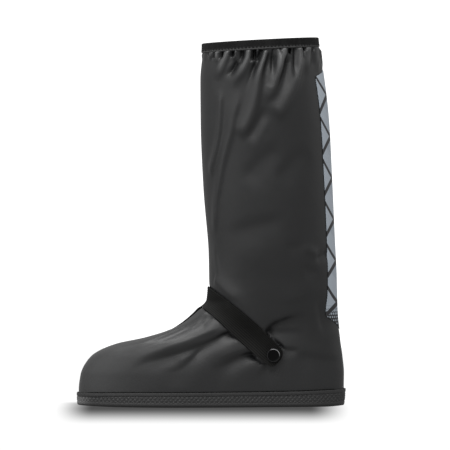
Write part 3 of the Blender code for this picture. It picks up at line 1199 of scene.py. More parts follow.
# Pleats that run down the shaft from the tape
PLEATS = (
    Fold("edge_lip", 2.6, 1.8, 1.8, (0.1, 0.5), ((0.2, 396), (-0.2, 384))),
    Fold("first_lip", 3.8, 2.4, 2.0, (0.1, 0.5), ((7.6, 397), (7.5, 380.5))),
    Fold("first_ridge", 4.2, 2.8, 4.6, (0.1, 0.5),
         ((21.5, 397), (18.5, 390), (14.6, 381.5), (10.5, 371), (6.5, 360))),
    Fold("cup_lip", 1.4, 1.5, 1.5, (0.2, 0.3), ((26.6, 396), (27, 391), (25, 387), (21.5, 386.5))),
    Fold("first_trough", -4.0, 2.0, 3.2, (0.3, 0.5), ((28.6, 388), (26, 379), (21, 371), (16, 363.5))),
    Fold("second_ridge", 3.8, 3.0, 5.5, (0.08, 0.6),
         ((42.6, 398), (42, 389), (39.8, 383), (34, 371), (27, 362), (19, 352))),
    Fold("deep_lip", 2.0, 2.0, 2.0, (0.3, 0.3), ((50.5, 387), (49.5, 383), (46.5, 381), (43.5, 384))),
    Fold("small_lip", 1.8, 1.4, 1.4, (0.3, 0.6), ((52, 398), (51.5, 390))),
    Fold("second_trough", -4.6, 2.0, 3.2, (0.0, 0.8),
         ((56, 398), (52.8, 389), (49.4, 381), (46.4, 374), (44, 366), (40.5, 355), (37.5, 346))),
    Fold("long_ridge", 4.2, 3.2, 5.5, (0.06, 0.15),
         ((61.2, 399), (60, 392), (58.2, 385), (55.5, 376), (53, 364), (51, 350), (47, 331), (40, 313),
          (31, 296))),
    Fold("third_trough", -1.8, 2.0, 2.8, (0.2, 0.6),
         ((66, 396), (65, 391), (62, 381), (59, 369), (57, 355))),
    Fold("fourth_trough", -3.6, 2.4, 3.0, (0.0, 0.5), ((70.2, 400), (69.2, 390), (68.6, 380), (68.4, 362))),
    Fold("wide_puff", 3.4, 3.2, 4.5, (0.12, 0.5),
         ((74, 400), (74.5, 392), (76, 386), (75, 374), (72, 362))),
    Fold("cross_ridge", 3.6, 2.6, 5.0, (0.07, 0.3),
         ((82.5, 401), (82, 392), (79.5, 384), (77, 372), (71.5, 357), (64, 345), (54, 337))),
    Fold("cup", 0.3, 1.6, 1.6, (0.3, 0.3), ((60, 358), (63, 354.5), (66.5, 353), (70, 354.5), (73, 359))),
    Fold("fifth_trough", -3.0, 2.6, 5.0, (0.2, 0.6),
         ((86, 392), (84, 384), (82, 375), (79, 365), (75, 354), (70, 345))),
    Fold("sixth_trough", -3.8, 2.6, 2.8, (0.0, 0.5), ((93.4, 401), (93.4, 380), (92.8, 360))),
    Fold("tongue", 3.7, 3.2, 6.0, (0.06, 0.14),
         ((99, 402), (99, 388), (97.5, 370), (94, 357), (88, 345), (80, 332), (70, 319))),
    Fold("long_shade", -2.2, 3.5, 4.5, (0.3, 0.3), ((62, 335), (54, 319), (46, 306), (37, 295))),
    Fold("back_trough", -1.4, 2.0, 2.6, (0.2, 0.5), ((112.4, 396), (112.6, 388), (113, 376))),
    Fold("back_lip", 3.0, 2.6, 5.5, (0.12, 0.55), ((108.6, 403), (108.4, 396), (107.4, 384), (105, 366))),
    Fold("far_lip", 3.0, 2.6, 5.0, (0.12, 0.55), ((116.4, 403), (116.8, 396), (118, 384), (119, 368))),
)

# Slack of the shaft
SLACK = (
    Fold("shin_first", 2.6, 3.0, 3.0, (0.15, 0.15),
         ((11, 354), (11, 335), (10.5, 320), (9, 303), (7, 290), (4, 277), (1, 264), (-1, 252))),
    Fold("shin_second", 2.3, 4.0, 3.4, (0.15, 0.15),
         ((30, 354), (29, 338), (25, 321), (22, 303), (17, 285), (12, 264), (9, 245), (6, 226), (5, 205),
          (3, 186))),
    Fold("shin_low", 1.0, 3.0, 3.0, (0.3, 0.2), ((5, 188), (5, 172), (7, 157), (9, 142))),
    Fold("strap_roll", 2.0, 4.4, 4.4, (0.1, 0.45),
         ((3, 140), (12, 132.5), (23, 123), (36, 112), (46, 104))),
    Fold("long_echo", 0.6, 4.0, 5.0, (0.3, 0.3), ((64, 320), (56, 304), (49, 291), (42, 279))),
    Fold("mid_slope", -2.0, 8.0, 8.0, (0.3, 0.3),
         ((82, 293), (68, 282), (58, 274), (50, 266), (42, 256), (34, 246))),
    Fold("back_slope", -2.2, 7.0, 7.0, (0.3, 0.3),
         ((108, 288), (96, 276), (88, 267), (80, 258), (71, 249))),
    Fold("sag", -1.6, 6.0, 8.0, (0.25, 0.4),
         ((84, 211), (70, 206), (60, 203), (48, 200), (36, 196), (14, 187))),
    Fold("low_swell", 0.5, 8.0, 8.0, (0.4, 0.4), ((57, 187), (52, 168), (45, 148))),
    Fold("low_hollow", -1.5, 4.5, 4.5, (0.4, 0.4), ((106, 178), (92, 177), (80, 174))),
    Fold("back_wrinkle", 1.9, 3.0, 3.0, (0.4, 0.3), ((100, 176), (112, 170), (121, 165))),
    Fold("back_crease", -2.2, 3.0, 3.0, (0.4, 0.2), ((114, 164), (124, 167), (130, 171))),
    Fold("back_dip", -1.8, 4.0, 4.0, (0.4, 0.4), ((100, 154), (110, 150), (121, 146))),
    Fold("rising_ridge", 1.2, 6.0, 6.0, (0.4, 0.3), ((73, 115), (95, 121), (112, 128), (123, 136))),
)

# Pull of the strap on the foot
PULLS = (
    Fold("toe_pull", -3.6, 2.4, 6.0, (0.0, 0.5),
         ((27, 82), (15, 78.5), (4, 72.5), (-10, 66.5), (-26, 61), (-42, 56), (-58, 51.5), (-74, 46),
          (-86, 38), (-95, 29))),
    Fold("toe_pull_start", -3.0, 1.6, 2.6, (0.0, 0.8), ((27, 82), (16, 79), (5, 73.5)), Crease.CRISP),
    Fold("toe_pull_ridge", 1.8, 4.0, 6.0, (0.15, 0.5),
         ((12, 88), (-10, 79), (-35, 70), (-65, 61), (-92, 49))),
    Fold("toe_branch", -1.6, 3.0, 5.0, (0.3, 0.4),
         ((2, 69), (-11, 61), (-21, 51), (-30, 42), (-44, 36.5), (-62, 34))),
    Fold("branch_ridge", 1.0, 4.0, 4.0, (0.4, 0.4), ((-14, 61), (-27, 54), (-44, 47))),
    Fold("low_pull", -3.4, 2.4, 5.0, (0.0, 0.5),
         ((50, 58), (38, 55), (29, 51.5), (19, 46.5), (10, 42), (-4, 37.5))),
    Fold("low_pull_start", -3.4, 1.6, 2.4, (0.0, 0.8), ((50, 58), (40, 56), (31, 52.5)), Crease.CRISP),
    Fold("low_pull_ridge", 1.5, 3.0, 4.0, (0.05, 0.5), ((43, 65), (22, 58.5), (2, 51))),
    Fold("end_shade", -2.2, 1.7, 1.7, (0.15, 0.4),
         ((45.4, 60), (52.5, 55), (58.4, 49), (63.6, 42.6), (69, 41.4), (75, 43.6))),
    Fold("end_hollow", -1.1, 3.0, 3.0, (0.3, 0.3), ((56, 43), (66, 36), (76, 39))),
    Fold("instep_ridge", 1.1, 2.0, 4.0, (0.0, 0.4),
         ((-4, 102), (-16, 94.5), (-28, 88), (-42, 82), (-56, 76), (-80, 66.5), (-98, 57))),
    Fold("instep_crease", -1.4, 1.8, 2.8, (0.0, 0.6),
         ((1, 100), (-6, 97), (-13, 91), (-19, 85), (-23, 79))),
    Fold("instep_fine", -0.7, 1.6, 2.2, (0.0, 0.6), ((-2, 97), (-9, 88), (-14, 81))),
    Fold("instep_trough", -0.9, 2.2, 3.0, (0.2, 0.4),
         ((-12, 92), (-35, 80), (-55, 71), (-75, 63), (-92, 54))),
    Fold("heel_arc", -6.4, 4.2, 7.0, (0.0, 0.5),
         ((60, 72.5), (63.5, 79.5), (71, 86.5), (82, 91), (97, 95.5), (110, 99.5))),
    Fold("arc_start", -2.6, 1.8, 2.2, (0.0, 0.6), ((62, 75), (64.5, 80.5), (72, 85.4))),
    Fold("snap_puff", 1.8, 3.5, 6.0, (0.2, 0.5), ((71, 84), (80, 86), (92, 87), (106, 88))),
    Fold("snap_crease", -6.0, 1.8, 2.2, (0.0, 0.45),
         ((64.7, 72.2), (70.7, 69.2), (76.3, 65.7), (80.7, 62.6), (83.5, 61.4)), Crease.CRISP),
    Fold("snap_tail", -2.5, 2.0, 2.4, (0.3, 0.5), ((76, 65), (83, 61.8), (92, 60.8), (101, 60.4))),
    Fold("heel_hollow", -2.0, 5.0, 6.0, (0.3, 0.4), ((88, 55), (110, 51.5), (130, 48), (146, 45))),
    Fold("heel_trough", -2.4, 6.0, 6.0, (0.35, 0.35), ((119, 124), (122, 108), (125, 92), (129, 74))),
)


@dataclass(frozen=True)
class FoldChart:
    """All the folds of the skin, laid on the last."""

    last: Last
    samples: int = 36
    reach: float = 2.6
    hang: tuple[float, float, float] = (0.6, 0.0, -0.8)
    pocket_droop: float = 1.0
    pleat_droop: float = 1.8
    slack_droop: float = 2.0
    pull_droop: float = 3.0
    eye: tuple[float, float] = (15.3, 273.5)
    near: float = 0.9905
    inner_shift: tuple[float, float] = (5.0, -4.0)
    inner_share: float = 0.8
    end_pleats: int = 5
    end_pleat_spread: float = 0.62
    end_pleat_height: float = 0.9
    end_pleat_width: float = 2.4
    end_pleat_drop: float = 0.55
    end_pleat_short: float = 0.6
    end_pleat_fade: tuple[float, float] = (0.0, 0.6)

    def side_route(self, fold: Fold, side: Side) -> Array:
        """A fold's route on one side of the last.

        Args:
            fold: the fold.
            side: which side it lies on. The inner side's folds are shifted a little.

        Returns:
            Points on the last.
        """
        eye = np.array(self.eye)
        route = eye + (np.array(fold.route, float) - eye) * self.near
        if side is Side.INNER:
            route = route + np.array(self.inner_shift)
        knots = np.linspace(0.0, 1.0, len(route))
        shares = np.linspace(0.0, 1.0, self.samples)
        x = monotone(knots, route[:, 0], shares) * MM
        z = monotone(knots, route[:, 1], shares) * MM
        level, angle = self.last.from_side(x, z, side)
        return self.last.point(level, angle)

    def press(self, points: Array, route: Array, fold: Fold, height: float, droop: float = 1.0) -> Array:
        """Relief of one fold.

        Args:
            points: places on the last.
            route: the fold's points.
            fold: the fold.
            height: its height in metres.
            droop: how much wider the flank that looks up is than the one that looks down.

        Returns:
            How far each place moves outwards.
        """
        relief = np.zeros(len(points))
        margin = self.reach * droop * max(fold.width, fold.spread) * MM
        near = np.all((points > route.min(axis=0) - margin) & (points < route.max(axis=0) + margin), axis=1)
        if not near.any():
            return relief
        close = points[near][:, None, :] - route[None, :-1, :]
        run = np.diff(route, axis=0)
        length = np.linalg.norm(run, axis=1)
        share = np.clip((close * run).sum(axis=-1) / np.maximum(length, TINY) ** 2, 0.0, 1.0)
        offset = close - share[..., None] * run
        away = np.linalg.norm(offset, axis=-1)
        nearest = away.argmin(axis=1)
        rows = np.arange(len(nearest))
        along = run_along(route)
        place = (along[nearest] + share[rows, nearest] * length[nearest]) / along[-1]
        fade_in, fade_out = fold.fade
        strength = smoothstep(-TINY, max(fade_in, TINY), place)
        strength = strength * (1 - smoothstep(1 - fade_out, 1.0, place))
        below = offset[rows, nearest] @ np.array(self.hang) * -np.sign(fold.height)
        width = (fold.width + (fold.spread - fold.width) * place) * np.where(below > 0, droop, 1.0) * MM
        bell = np.exp(-((away[rows, nearest] / width) ** fold.crease.value))
        relief[near] = height * bell * strength
        return relief

    def end_routes(self) -> list[tuple[Fold, Array]]:
        """Plain pleats round the front and the back of the collar, where the side folds don't reach.

        Returns:
            Each pleat with its points on the last.
        """
        made = []
        for middle in (0.0, math.pi):
            offsets = np.linspace(-1.0, 1.0, self.end_pleats) * self.end_pleat_spread
            for number, offset in enumerate(offsets):
                drop = self.end_pleat_drop * (1.0 if number % 2 else self.end_pleat_short)
                level = np.linspace(self.last.tape, self.last.tape - drop, self.samples)
                width = self.end_pleat_width
                fold = Fold("end_pleat", self.end_pleat_height, width, width, self.end_pleat_fade, ())
                made.append((fold, self.last.point(level, middle + offset)))
        return made

    def relief(self, points: Array) -> Array:
        """Relief of all folds together.

        Args:
            points: places on the last, with x, y, z on the last axis.

        Returns:
            How far each place moves outwards, in metres.
        """
        flat = points.reshape(-1, 3)
        total = np.zeros(len(flat))
        tables = (
            (POCKETS, self.pocket_droop),
            (PLEATS, self.pleat_droop),
            (SLACK, self.slack_droop),
            (PULLS, self.pull_droop),
        )
        for side in Side:
            share = MM * (1.0 if side is Side.OUTER else self.inner_share)
            for table, droop in tables:
                for fold in table:
                    route = self.side_route(fold, side)
                    total += self.press(flat, route, fold, fold.height * share, droop)
        for fold, route in self.end_routes():
            total += self.press(flat, route, fold, fold.height * MM)
        return total.reshape(points.shape[:-1])


# Pieces of the cover


@dataclass(frozen=True)
class InstepStrap:
    """Elastic strap over the instep. Its middle line runs through the snap in side view."""

    last: Last
    snap_x: float = 0.0677
    snap_z: float = 0.0572
    fall: float = math.radians(41.0)
    run: float = 0.0956
    bow: float = 0.0026
    width: float = 0.0240
    thickness: float = 0.0013
    gap: float = 0.0009
    snap_lift: float = 0.0034
    tail: float = 0.0092
    corner: float = 0.0085
    flare: float = 0.20
    flare_from: float = 0.35
    flare_full: float = 0.85
    flare_end: float = 0.93
    top_clear: float = 3.0
    end_search: tuple[float, float] = (0.05, 0.8 * math.pi)
    lift_start: float = -0.036
    lift_end: float = -0.009
    columns: int = 48
    rows: int = 260
    rib: float = 0.0020
    rib_depth: float = 0.00012
    edge_round: float = 0.0009
    edge_top: float = 0.45
    edge_low: float = 0.35
    press_depth: float = 0.0006
    press_soft: float = 0.0022
    bulge_above: float = 0.0004
    bulge_below: float = 0.0006
    bulge_reach: float = 0.0075
    bulge_full: float = -0.075
    bulge_end: float = -0.012
    # pinched fold on the instep: a tube whose near-black paints the shade along the instep line
    pinch_levels: float = 1.5
    pinch_under: float = 0.1
    pinch_radius: float = 0.0018
    pinch_start: float = 0.6
    pinch_full: float = 0.25
    pinch_taper: float = 0.8
    pinch_rings: int = 40
    pinch_sides: int = 10
    finish: WovenElastic = field(default_factory=WovenElastic)
    shade: PaintedShadeBlack = field(default_factory=PaintedShadeBlack)

    def side_view(self, points: Array) -> tuple[Array, Array]:
        """Where points lie on the strap in side view.

        Args:
            points: places on the last.

        Returns:
            Distance along the strap past the snap, and across from its middle line.
        """
        away = points[..., [0, 2]] - np.array([self.snap_x, self.snap_z])
        along = away @ np.array([math.cos(self.fall), -math.sin(self.fall)])
        across = away @ np.array([math.sin(self.fall), math.cos(self.fall)])
        share = -along / self.run
        return along, across - 4 * self.bow * share * (1 - share)

    def level(self, angle: Array, offset: Array) -> Array:
        """Level where the last crosses a line along the strap.

        Args:
            angle: angles round the last.
            offset: the line's distance from the strap's middle.

        Returns:
            A level for each angle.
        """

        def height(level: Array) -> Array:
            """Distance past that line."""
            return self.side_view(self.last.point(level, angle))[1] - offset

        return solve(height, np.ones_like(angle), np.full_like(angle, self.last.top - self.top_clear))

    def end_angle(self, side: Side, offset: Array) -> Array:
        """Angle where the strap ends, with the end's corners rounded.

        Args:
            side: which end.
            offset: distances across the strap.

        Returns:
            Angles without sign, one for each offset.
        """
        into = np.maximum(0.0, np.abs(offset) - (self.width / 2 - self.corner))
        tail = self.tail - self.corner + np.sqrt(np.maximum(self.corner**2 - into**2, 0.0))

        def reach(angle: Array) -> Array:
            """Distance past the end."""
            turned = side.value * angle
            return self.side_view(self.last.point(self.level(turned, offset), turned))[0] - tail

        low, high = (np.full_like(offset, angle) for angle in self.end_search)
        return solve(reach, low, high, rounds=24)

    def cover(self, points: Array) -> Array:
        """How much the strap lies over each place.

        Args:
            points: places on the last.

        Returns:
            1 under the strap, falling to 0 beside it.
        """
        along, across = self.side_view(points)
        edge = self.width / 2
        beside = 1 - smoothstep(edge - self.press_soft / 2, edge + self.press_soft / 2, np.abs(across))
        past = 1 - smoothstep(self.tail - self.press_soft, self.tail, along)
        return beside * past

    def swell(self, points: Array) -> Array:
        """How far the skin swells out beside the strap.

        Args:
            points: places on the last.

        Returns:
            Distances outwards, less and less towards the snap.
        """
        along, across = self.side_view(points)
        away = np.maximum(np.abs(across) - self.width / 2, 0.0) / self.bulge_reach
        height = np.where(across > 0, self.bulge_above, self.bulge_below)
        return height * away * np.exp(1 - away) * (1 - smoothstep(self.bulge_full, self.bulge_end, along))

    def lay(self, offset: Array, share: Array) -> tuple[Array, Array]:
        """Lays the strap on the last.

        Args:
            offset: distances across the strap.
            share: -1 at the outer end, 1 at the inner end.

        Returns:
            Points under the strap, offsets by shares, and the directions away from the last.
        """
        outer = self.end_angle(Side.OUTER, offset)[:, None]
        inner = self.end_angle(Side.INNER, offset)[:, None]
        angle = share * np.where(share < 0, outer, inner)
        widened = smoothstep(self.flare_from, self.flare_full, -share)
        widened = widened * (1 - smoothstep(self.flare_end, 1.0, -share))
        flare = 1 + self.flare * widened * (offset[:, None] < 0)
        level = self.level(angle, offset[:, None] * flare)
        points = self.last.point(level, angle)
        normals = self.last.normal(level, angle)
        along, _ = self.side_view(points)
        raised = smoothstep(self.lift_start, self.lift_end, along) * (share < 0)
        lift = self.gap + (self.snap_lift - self.gap) * raised
        return points + normals * lift[..., None], normals

    def build(self) -> bpy.types.Object:
        """Makes the strap with its lengthwise ribs and rounded edges.

        Returns:
            The dressed piece.
        """
        offset = np.linspace(-self.width / 2, self.width / 2, self.columns + 1)
        share = np.linspace(-1.0, 1.0, self.rows + 1)[None, :]
        under, normals = self.lay(offset, share)
        rib = self.rib_depth * np.cos(math.tau * offset / self.rib)
        from_edge = np.clip((self.width / 2 - np.abs(offset)) / self.edge_round, 0.0, 1.0)
        edge = np.sqrt(from_edge * (2 - from_edge))
        top = self.thickness * (self.edge_top + (1 - self.edge_top) * edge) + rib * edge
        low = self.thickness * self.edge_low * (1 - edge)
        length = run_along(under)
        length = length - length[:, [self.rows // 2]]
        flat = np.stack([length, np.broadcast_to(offset[:, None], length.shape)], axis=-1)
        sculpt = Sculpt()
        sculpt.sheet(under + normals * top[:, None, None], under + normals * low[:, None, None], flat)
        strap = sculpt.build("webbing_strap", [self.finish.material()])
        return dress(strap, "elastic_webbing", "instep_strap")

    def build_pinch(self) -> bpy.types.Object:
        """Makes the dark tube that runs down the instep's middle line from under the strap, where the skin
        pinches; its near-black paints the shade there.

        Returns:
            The dressed piece.
        """
        share = np.linspace(0.0, 1.0, self.pinch_rings)
        start = self.level(np.zeros(1), np.full(1, -self.width / 2))
        level = start + self.pinch_under - share * self.pinch_levels
        normals = self.last.normal(level, 0.0)
        swell = self.pinch_start + (1 - self.pinch_start) * smoothstep(0.0, self.pinch_full, share)
        radius = self.pinch_radius * swell * (1 - share) ** self.pinch_taper
        radius[0] = 0.0
        middle = self.last.point(level, 0.0) + normals * radius[:, None]
        across = np.broadcast_to((0.0, -1.0, 0.0), normals.shape)
        sculpt = Sculpt()
        sculpt.tube(middle, normals, across, radius, self.pinch_sides)
        fold = sculpt.build("instep_shade_tube", [self.shade.material()], NO_CREASE)
        return dress(fold, "coated_skin")


@dataclass(frozen=True)
class Upper:
    """Skin of the foot and shaft with its folds, and the lining inside it."""

    last: Last
    folds: FoldChart
    strap: InstepStrap
    wall: float = 0.0012
    columns: int = 400
    rows: int = 190
    side_crowding: float = 0.17
    row_levels: tuple[float, ...] = (0.0, 1.0, 1.5, 9.0, 10.0, 12.2, 12.9, 14.05, 14.2, 15.0)
    row_weights: tuple[float, ...] = (0.3, 0.5, 1.15, 1.15, 0.7, 0.75, 1.8, 2.0, 0.6, 0.5)
    rim_clear: float = 0.0200
    rim_soft: float = 0.007
    tape_edge: float = 0.035
    tape_soft: float = 0.05
    samples: int = 1500
    skin: CoatedSkin = field(default_factory=CoatedSkin)
    lining: KnitLining = field(default_factory=KnitLining)

    def levels(self) -> Array:
        """Levels of the rows.

        Returns:
            Levels spread along the front, back and side lines, closer where folds are fine.
        """
        fine = np.linspace(0.0, self.last.top, self.samples)
        lines = [self.last.point(fine, angle) for angle in (0.0, math.pi / 2, math.pi, -math.pi / 2)]
        steps = sum(np.linalg.norm(np.diff(line, axis=0), axis=1) for line in lines)
        steps = steps * np.interp(fine[1:], self.row_levels, self.row_weights)
        length = np.concatenate([[0.0], np.cumsum(steps)])
        return np.interp(np.linspace(0.0, length[-1], self.rows + 1), length, fine)

    def relief(self, points: Array, level: Array) -> Array:
        """Folds, calmed under the strap, the tape and the sole's rim.

        Args:
            points: places on the last.
            level: their levels.

        Returns:
            How far each place moves outwards.
        """
        folds = self.folds.relief(points)
        pressed = self.strap.cover(points)
        folds = (folds + self.strap.swell(points)) * (1 - pressed) - self.strap.press_depth * pressed
        above_rim = smoothstep(self.rim_clear, self.rim_clear + self.rim_soft, points[..., 2])
        tape = self.last.tape + self.tape_edge
        below_tape = 1 - smoothstep(tape - self.tape_soft, tape, level)
        return folds * above_rim * below_tape

    def place(self, level: Array, angle: Array) -> tuple[Array, Array, Array]:
        """Places the folded skin.

        Args:
            level: place among the sections.
            angle: 0 at the toe, rising round the inner side.

        Returns:
            Points, the last's directions there and how far the folds stand out.
        """
        level, angle = np.broadcast_arrays(level, angle)
        points = self.last.point(level, angle)
        normals = self.last.normal(level, angle)
        rise = self.relief(points, level)
        return points + normals * rise[..., None], normals, rise

    def build(self) -> bpy.types.Object:
        """Makes the skin and its lining as one closed wall.

        Returns:
            The dressed piece.
        """
        turn = turns(self.columns)[None, :]
        angle = turn + self.side_crowding * np.sin(2 * turn)
        points, normals, rise = self.place(self.levels()[:, None], angle)
        flat = np.stack([rise, np.zeros_like(rise)], axis=-1)
        flat = np.concatenate([flat, flat[:, :1]], axis=1)
        sculpt = Sculpt()
        outer = sculpt.add_points(points)
        inner = sculpt.add_points((points - normals * self.wall)[::2, ::2])
        sculpt.skin(outer, around=True, flip=True, flat=flat)
        sculpt.skin(inner, around=True, slot=1)
        for edge in (0, -1):
            near, far = outer[edge, ::2], np.roll(outer[edge, ::2], -1)
            rim = np.stack([near, inner[edge], np.roll(inner[edge], -1), far, outer[edge, 1::2]], axis=-1)
            sculpt.add_faces(rim[:, ::-1] if edge == 0 else rim)
        upper = sculpt.build("folded_upper", [self.skin.material(), self.lining.material()], NO_CREASE)
        return dress(upper, "coated_skin", "upper")


class Contour(NamedTuple):
    """A step of the sole's side: out from the upper, and up from the tread or down from the rim."""

    out: float
    up: float
    from_rim: bool


@dataclass(frozen=True)
class Outsole:
    """Moulded cup sole with a knurled band, a lip and a grooved tread."""

    last: Last
    gap: float = 0.0003
    floor: float = 0.0050
    columns: int = 1200
    cross: int = 56
    rim_places: tuple[float, ...] = (0.000, 0.060, 0.230, 0.300)
    rim_heights: tuple[float, ...] = (0.0145, 0.0160, 0.0172, 0.0192)
    toe_spring: float = 0.0008
    toe_run: float = 0.050
    heel_bevel: float = 0.0008
    heel_run: float = 0.022
    heel_flare: float = 0.0012
    flare_run: float = 0.060
    knurl_pitch: float = 0.0050
    knurl_depth: float = 0.0008
    knurl_rows: int = 18
    knurl_fade: float = 0.06
    groove_width: float = 0.0035
    groove_depth: float = 0.0018
    groove_wall: float = 0.0005
    groove_margin: float = 0.011
    forefoot_grooves: tuple[float, float, int] = (-0.112, -0.010, 8)
    heel_grooves: tuple[float, float, int] = (0.076, 0.124, 4)
    arch: tuple[float, float] = (0.005, 0.062)
    arch_depth: float = 0.0010
    arch_soft: float = 0.004
    # the bead's near-black paints the shade line in the joint of the upper and the lip
    bead_radius: float = 0.0008
    bead_out: float = 0.0010
    bead_up: float = 0.0001
    bead_end: float = 0.018
    bead_thin: float = 0.3
    bead_sides: int = 8
    rubber: MouldedRubber = field(default_factory=MouldedRubber)
    painted_shade_black: PaintedShadeBlack = field(default_factory=PaintedShadeBlack)

    LOWER: tuple[Contour, ...] = (
        Contour(0.0004, 0.0, False),
        Contour(0.0010, 0.0002, False),
        Contour(0.0014, 0.0008, False),
        Contour(0.0017, 0.0018, False),
        Contour(0.0018, 0.0032, False),
        Contour(0.0018, 0.0044, False),
        Contour(0.0016, 0.0049, False),
    )
    BAND: tuple[Contour, Contour] = (Contour(0.0014, 0.0052, False), Contour(0.0014, -0.0043, True))
    UPPER_LIP: tuple[Contour, ...] = (
        Contour(0.0017, -0.0040, True),
        Contour(0.0020, -0.0036, True),
        Contour(0.0022, -0.0028, True),
        Contour(0.0022, -0.0006, True),
        Contour(0.0020, -0.0001, True),
        Contour(0.0015, 0.0, True),
        Contour(0.0006, 0.0, True),
        Contour(0.0003, -0.0003, True),
    )

    def tread(self, x: Array) -> Array:
        """How far the underside rises off the floor at the toe and the heel.

        Args:
            x: places along the sole.

        Returns:
            Heights.
        """
        toe = smoothstep(0.0, 1.0, (-self.last.length / 2 + self.toe_run - x) / self.toe_run)
        heel = smoothstep(0.0, 1.0, (x - self.last.length / 2 + self.heel_run) / self.heel_run)
        return self.toe_spring * toe + self.heel_bevel * heel

    def rim(self, x: Array) -> Array:
        """Height of the lip along the sole."""
        return monotone(self.rim_places, self.rim_heights, x + self.last.length / 2)

    def ring(self, outline: Array, normals: Array, out: Array | float, height: Array) -> Array:
        """A ring of the side.

        Args:
            outline: the upper's outline.
            normals: its outward directions.
            out: distance outwards.
            height: height of each point.

        Returns:
            The ring's points. The wall leans out towards the lip at the heel.
        """
        heel_end = self.last.length / 2
        to_heel = smoothstep(heel_end - self.flare_run, heel_end, outline[:, 0])
        lean = self.heel_flare * to_heel * np.clip(height / self.rim(outline[:, 0]) - 1, -1.0, 0.0)
        ring = outline + normals * (out + lean * (np.asarray(out) > self.gap))[:, None]
        ring[:, 2] = height
        return ring

    def contour_height(self, contour: Contour, x: Array) -> Array:
        """Height of a step of the side along the sole."""
        return (self.rim(x) if contour.from_rim else self.tread(x)) + contour.up

    def side_rings(self, outline: Array, normals: Array) -> list[Array]:
        """Rings of the side, with the knurl on the band.

        Args:
            outline: the upper's outline.
            normals: its outward directions.

        Returns:
            Points of each ring, from the tread up to the lip's inner edge.
        """
        x = outline[:, 0]
        along = run_along(closed(outline))
        turn = along[:-1] / along[-1] * round(along[-1] / self.knurl_pitch)

        def plain(contour: Contour) -> Array:
            """A ring without knurl."""
            out = np.full(len(x), contour.out)
            return self.ring(outline, normals, out, self.contour_height(contour, x))

        rings = [plain(contour) for contour in self.LOWER]
        low, high = (self.contour_height(contour, x) for contour in self.BAND)
        for share in np.linspace(0.0, 1.0, self.knurl_rows):
            height = low + share * (high - low)
            up = (height - low) / self.knurl_pitch
            ways = [np.abs(np.sin(math.pi * (turn + way * up))) for way in (1, -1)]
            knurl = self.knurl_depth * smoothstep(0.0, self.knurl_fade, min(share, 1 - share))
            out = self.BAND[0].out + knurl * np.minimum(*ways)
            rings.append(self.ring(outline, normals, out, height))
        return rings + [plain(contour) for contour in self.UPPER_LIP]

    def groove(self, points: Array) -> Array:
        """Depth of the tread's grooves and arch.

        Args:
            points: places on the underside.

        Returns:
            How far each place is pressed in.
        """
        x = points[..., 0]
        swing = self.last.station("swing", x)
        low = swing - self.last.station("outer", x) * BALL_WIDTH / 2 + self.groove_margin
        high = swing + self.last.station("inner", x) * BALL_WIDTH / 2 - self.groove_margin
        inside = np.minimum(points[..., 1] - low, high - points[..., 1])
        within = smoothstep(-self.groove_wall, self.groove_wall, inside)
        depth = np.zeros_like(x)
        for first, last, count in (self.forefoot_grooves, self.heel_grooves):
            for middle in np.linspace(first, last, count):
                away = np.abs(x - middle) - self.groove_width / 2
                cut = 1 - smoothstep(-self.groove_wall, self.groove_wall, away)
                depth = np.maximum(depth, self.groove_depth * cut)
        start, end = self.arch
        hollow = smoothstep(0.0, self.arch_soft, np.minimum(x - start, end - x))
        return np.maximum(depth, self.arch_depth * hollow) * within

    def close(self, sculpt: Sculpt, ring: Array, points: Array, cross: int, flip: bool, cut: bool) -> None:
        """Closes a ring with rungs between its two sides.

        Args:
            sculpt: the piece.
            ring: point numbers of the ring.
            points: places of the ring.
            cross: quads along each rung.
            flip: whether the faces look the other way.
            cut: whether the tread's grooves are pressed in.
        """
        half = len(ring) // 2
        left, right = ring[1:half], ring[:half:-1]
        numbers = np.empty((half - 1, cross + 1), int)
        numbers[:, 0] = left
        numbers[:, -1] = right
        if cross > 1:
            shares = np.linspace(0.0, 1.0, cross + 1)[None, 1:-1, None]
            rungs = points[1:half][:, None] * (1 - shares) + points[:half:-1][:, None] * shares
            if cut:
                rungs[..., 2] += self.groove(rungs)
            numbers[:, 1:-1] = sculpt.add_points(rungs)
        sculpt.skin(numbers, flip=flip)
        for tip, row in ((ring[0], numbers[0]), (ring[half], numbers[-1])):
            fan = np.stack([np.full(cross, tip), row[:-1], row[1:]], axis=-1)
            sculpt.add_faces(fan if flip == (tip == ring[0]) else fan[:, ::-1])

    def build(self) -> bpy.types.Object:
        """Makes the sole.

        Returns:
            The dressed piece.
        """
        outline = self.last.point(0.0, turns(self.columns))
        normals = self.last.plan_normals(outline)
        rings = self.side_rings(outline, normals)
        even = np.ones(len(outline))
        rings.append(self.ring(outline, normals, self.gap * even, self.floor * even))
        sculpt = Sculpt()
        numbers = np.stack([sculpt.add_points(ring) for ring in rings])
        sculpt.skin(numbers, around=True, flip=True)
        self.close(sculpt, numbers[0], rings[0], self.cross, flip=True, cut=True)
        self.close(sculpt, numbers[-1], rings[-1], 1, flip=False, cut=False)
        sole = sculpt.build("knurled_outsole", [self.rubber.material()], crease=50.0)
        return dress(sole, "sole_rubber", "outsole")

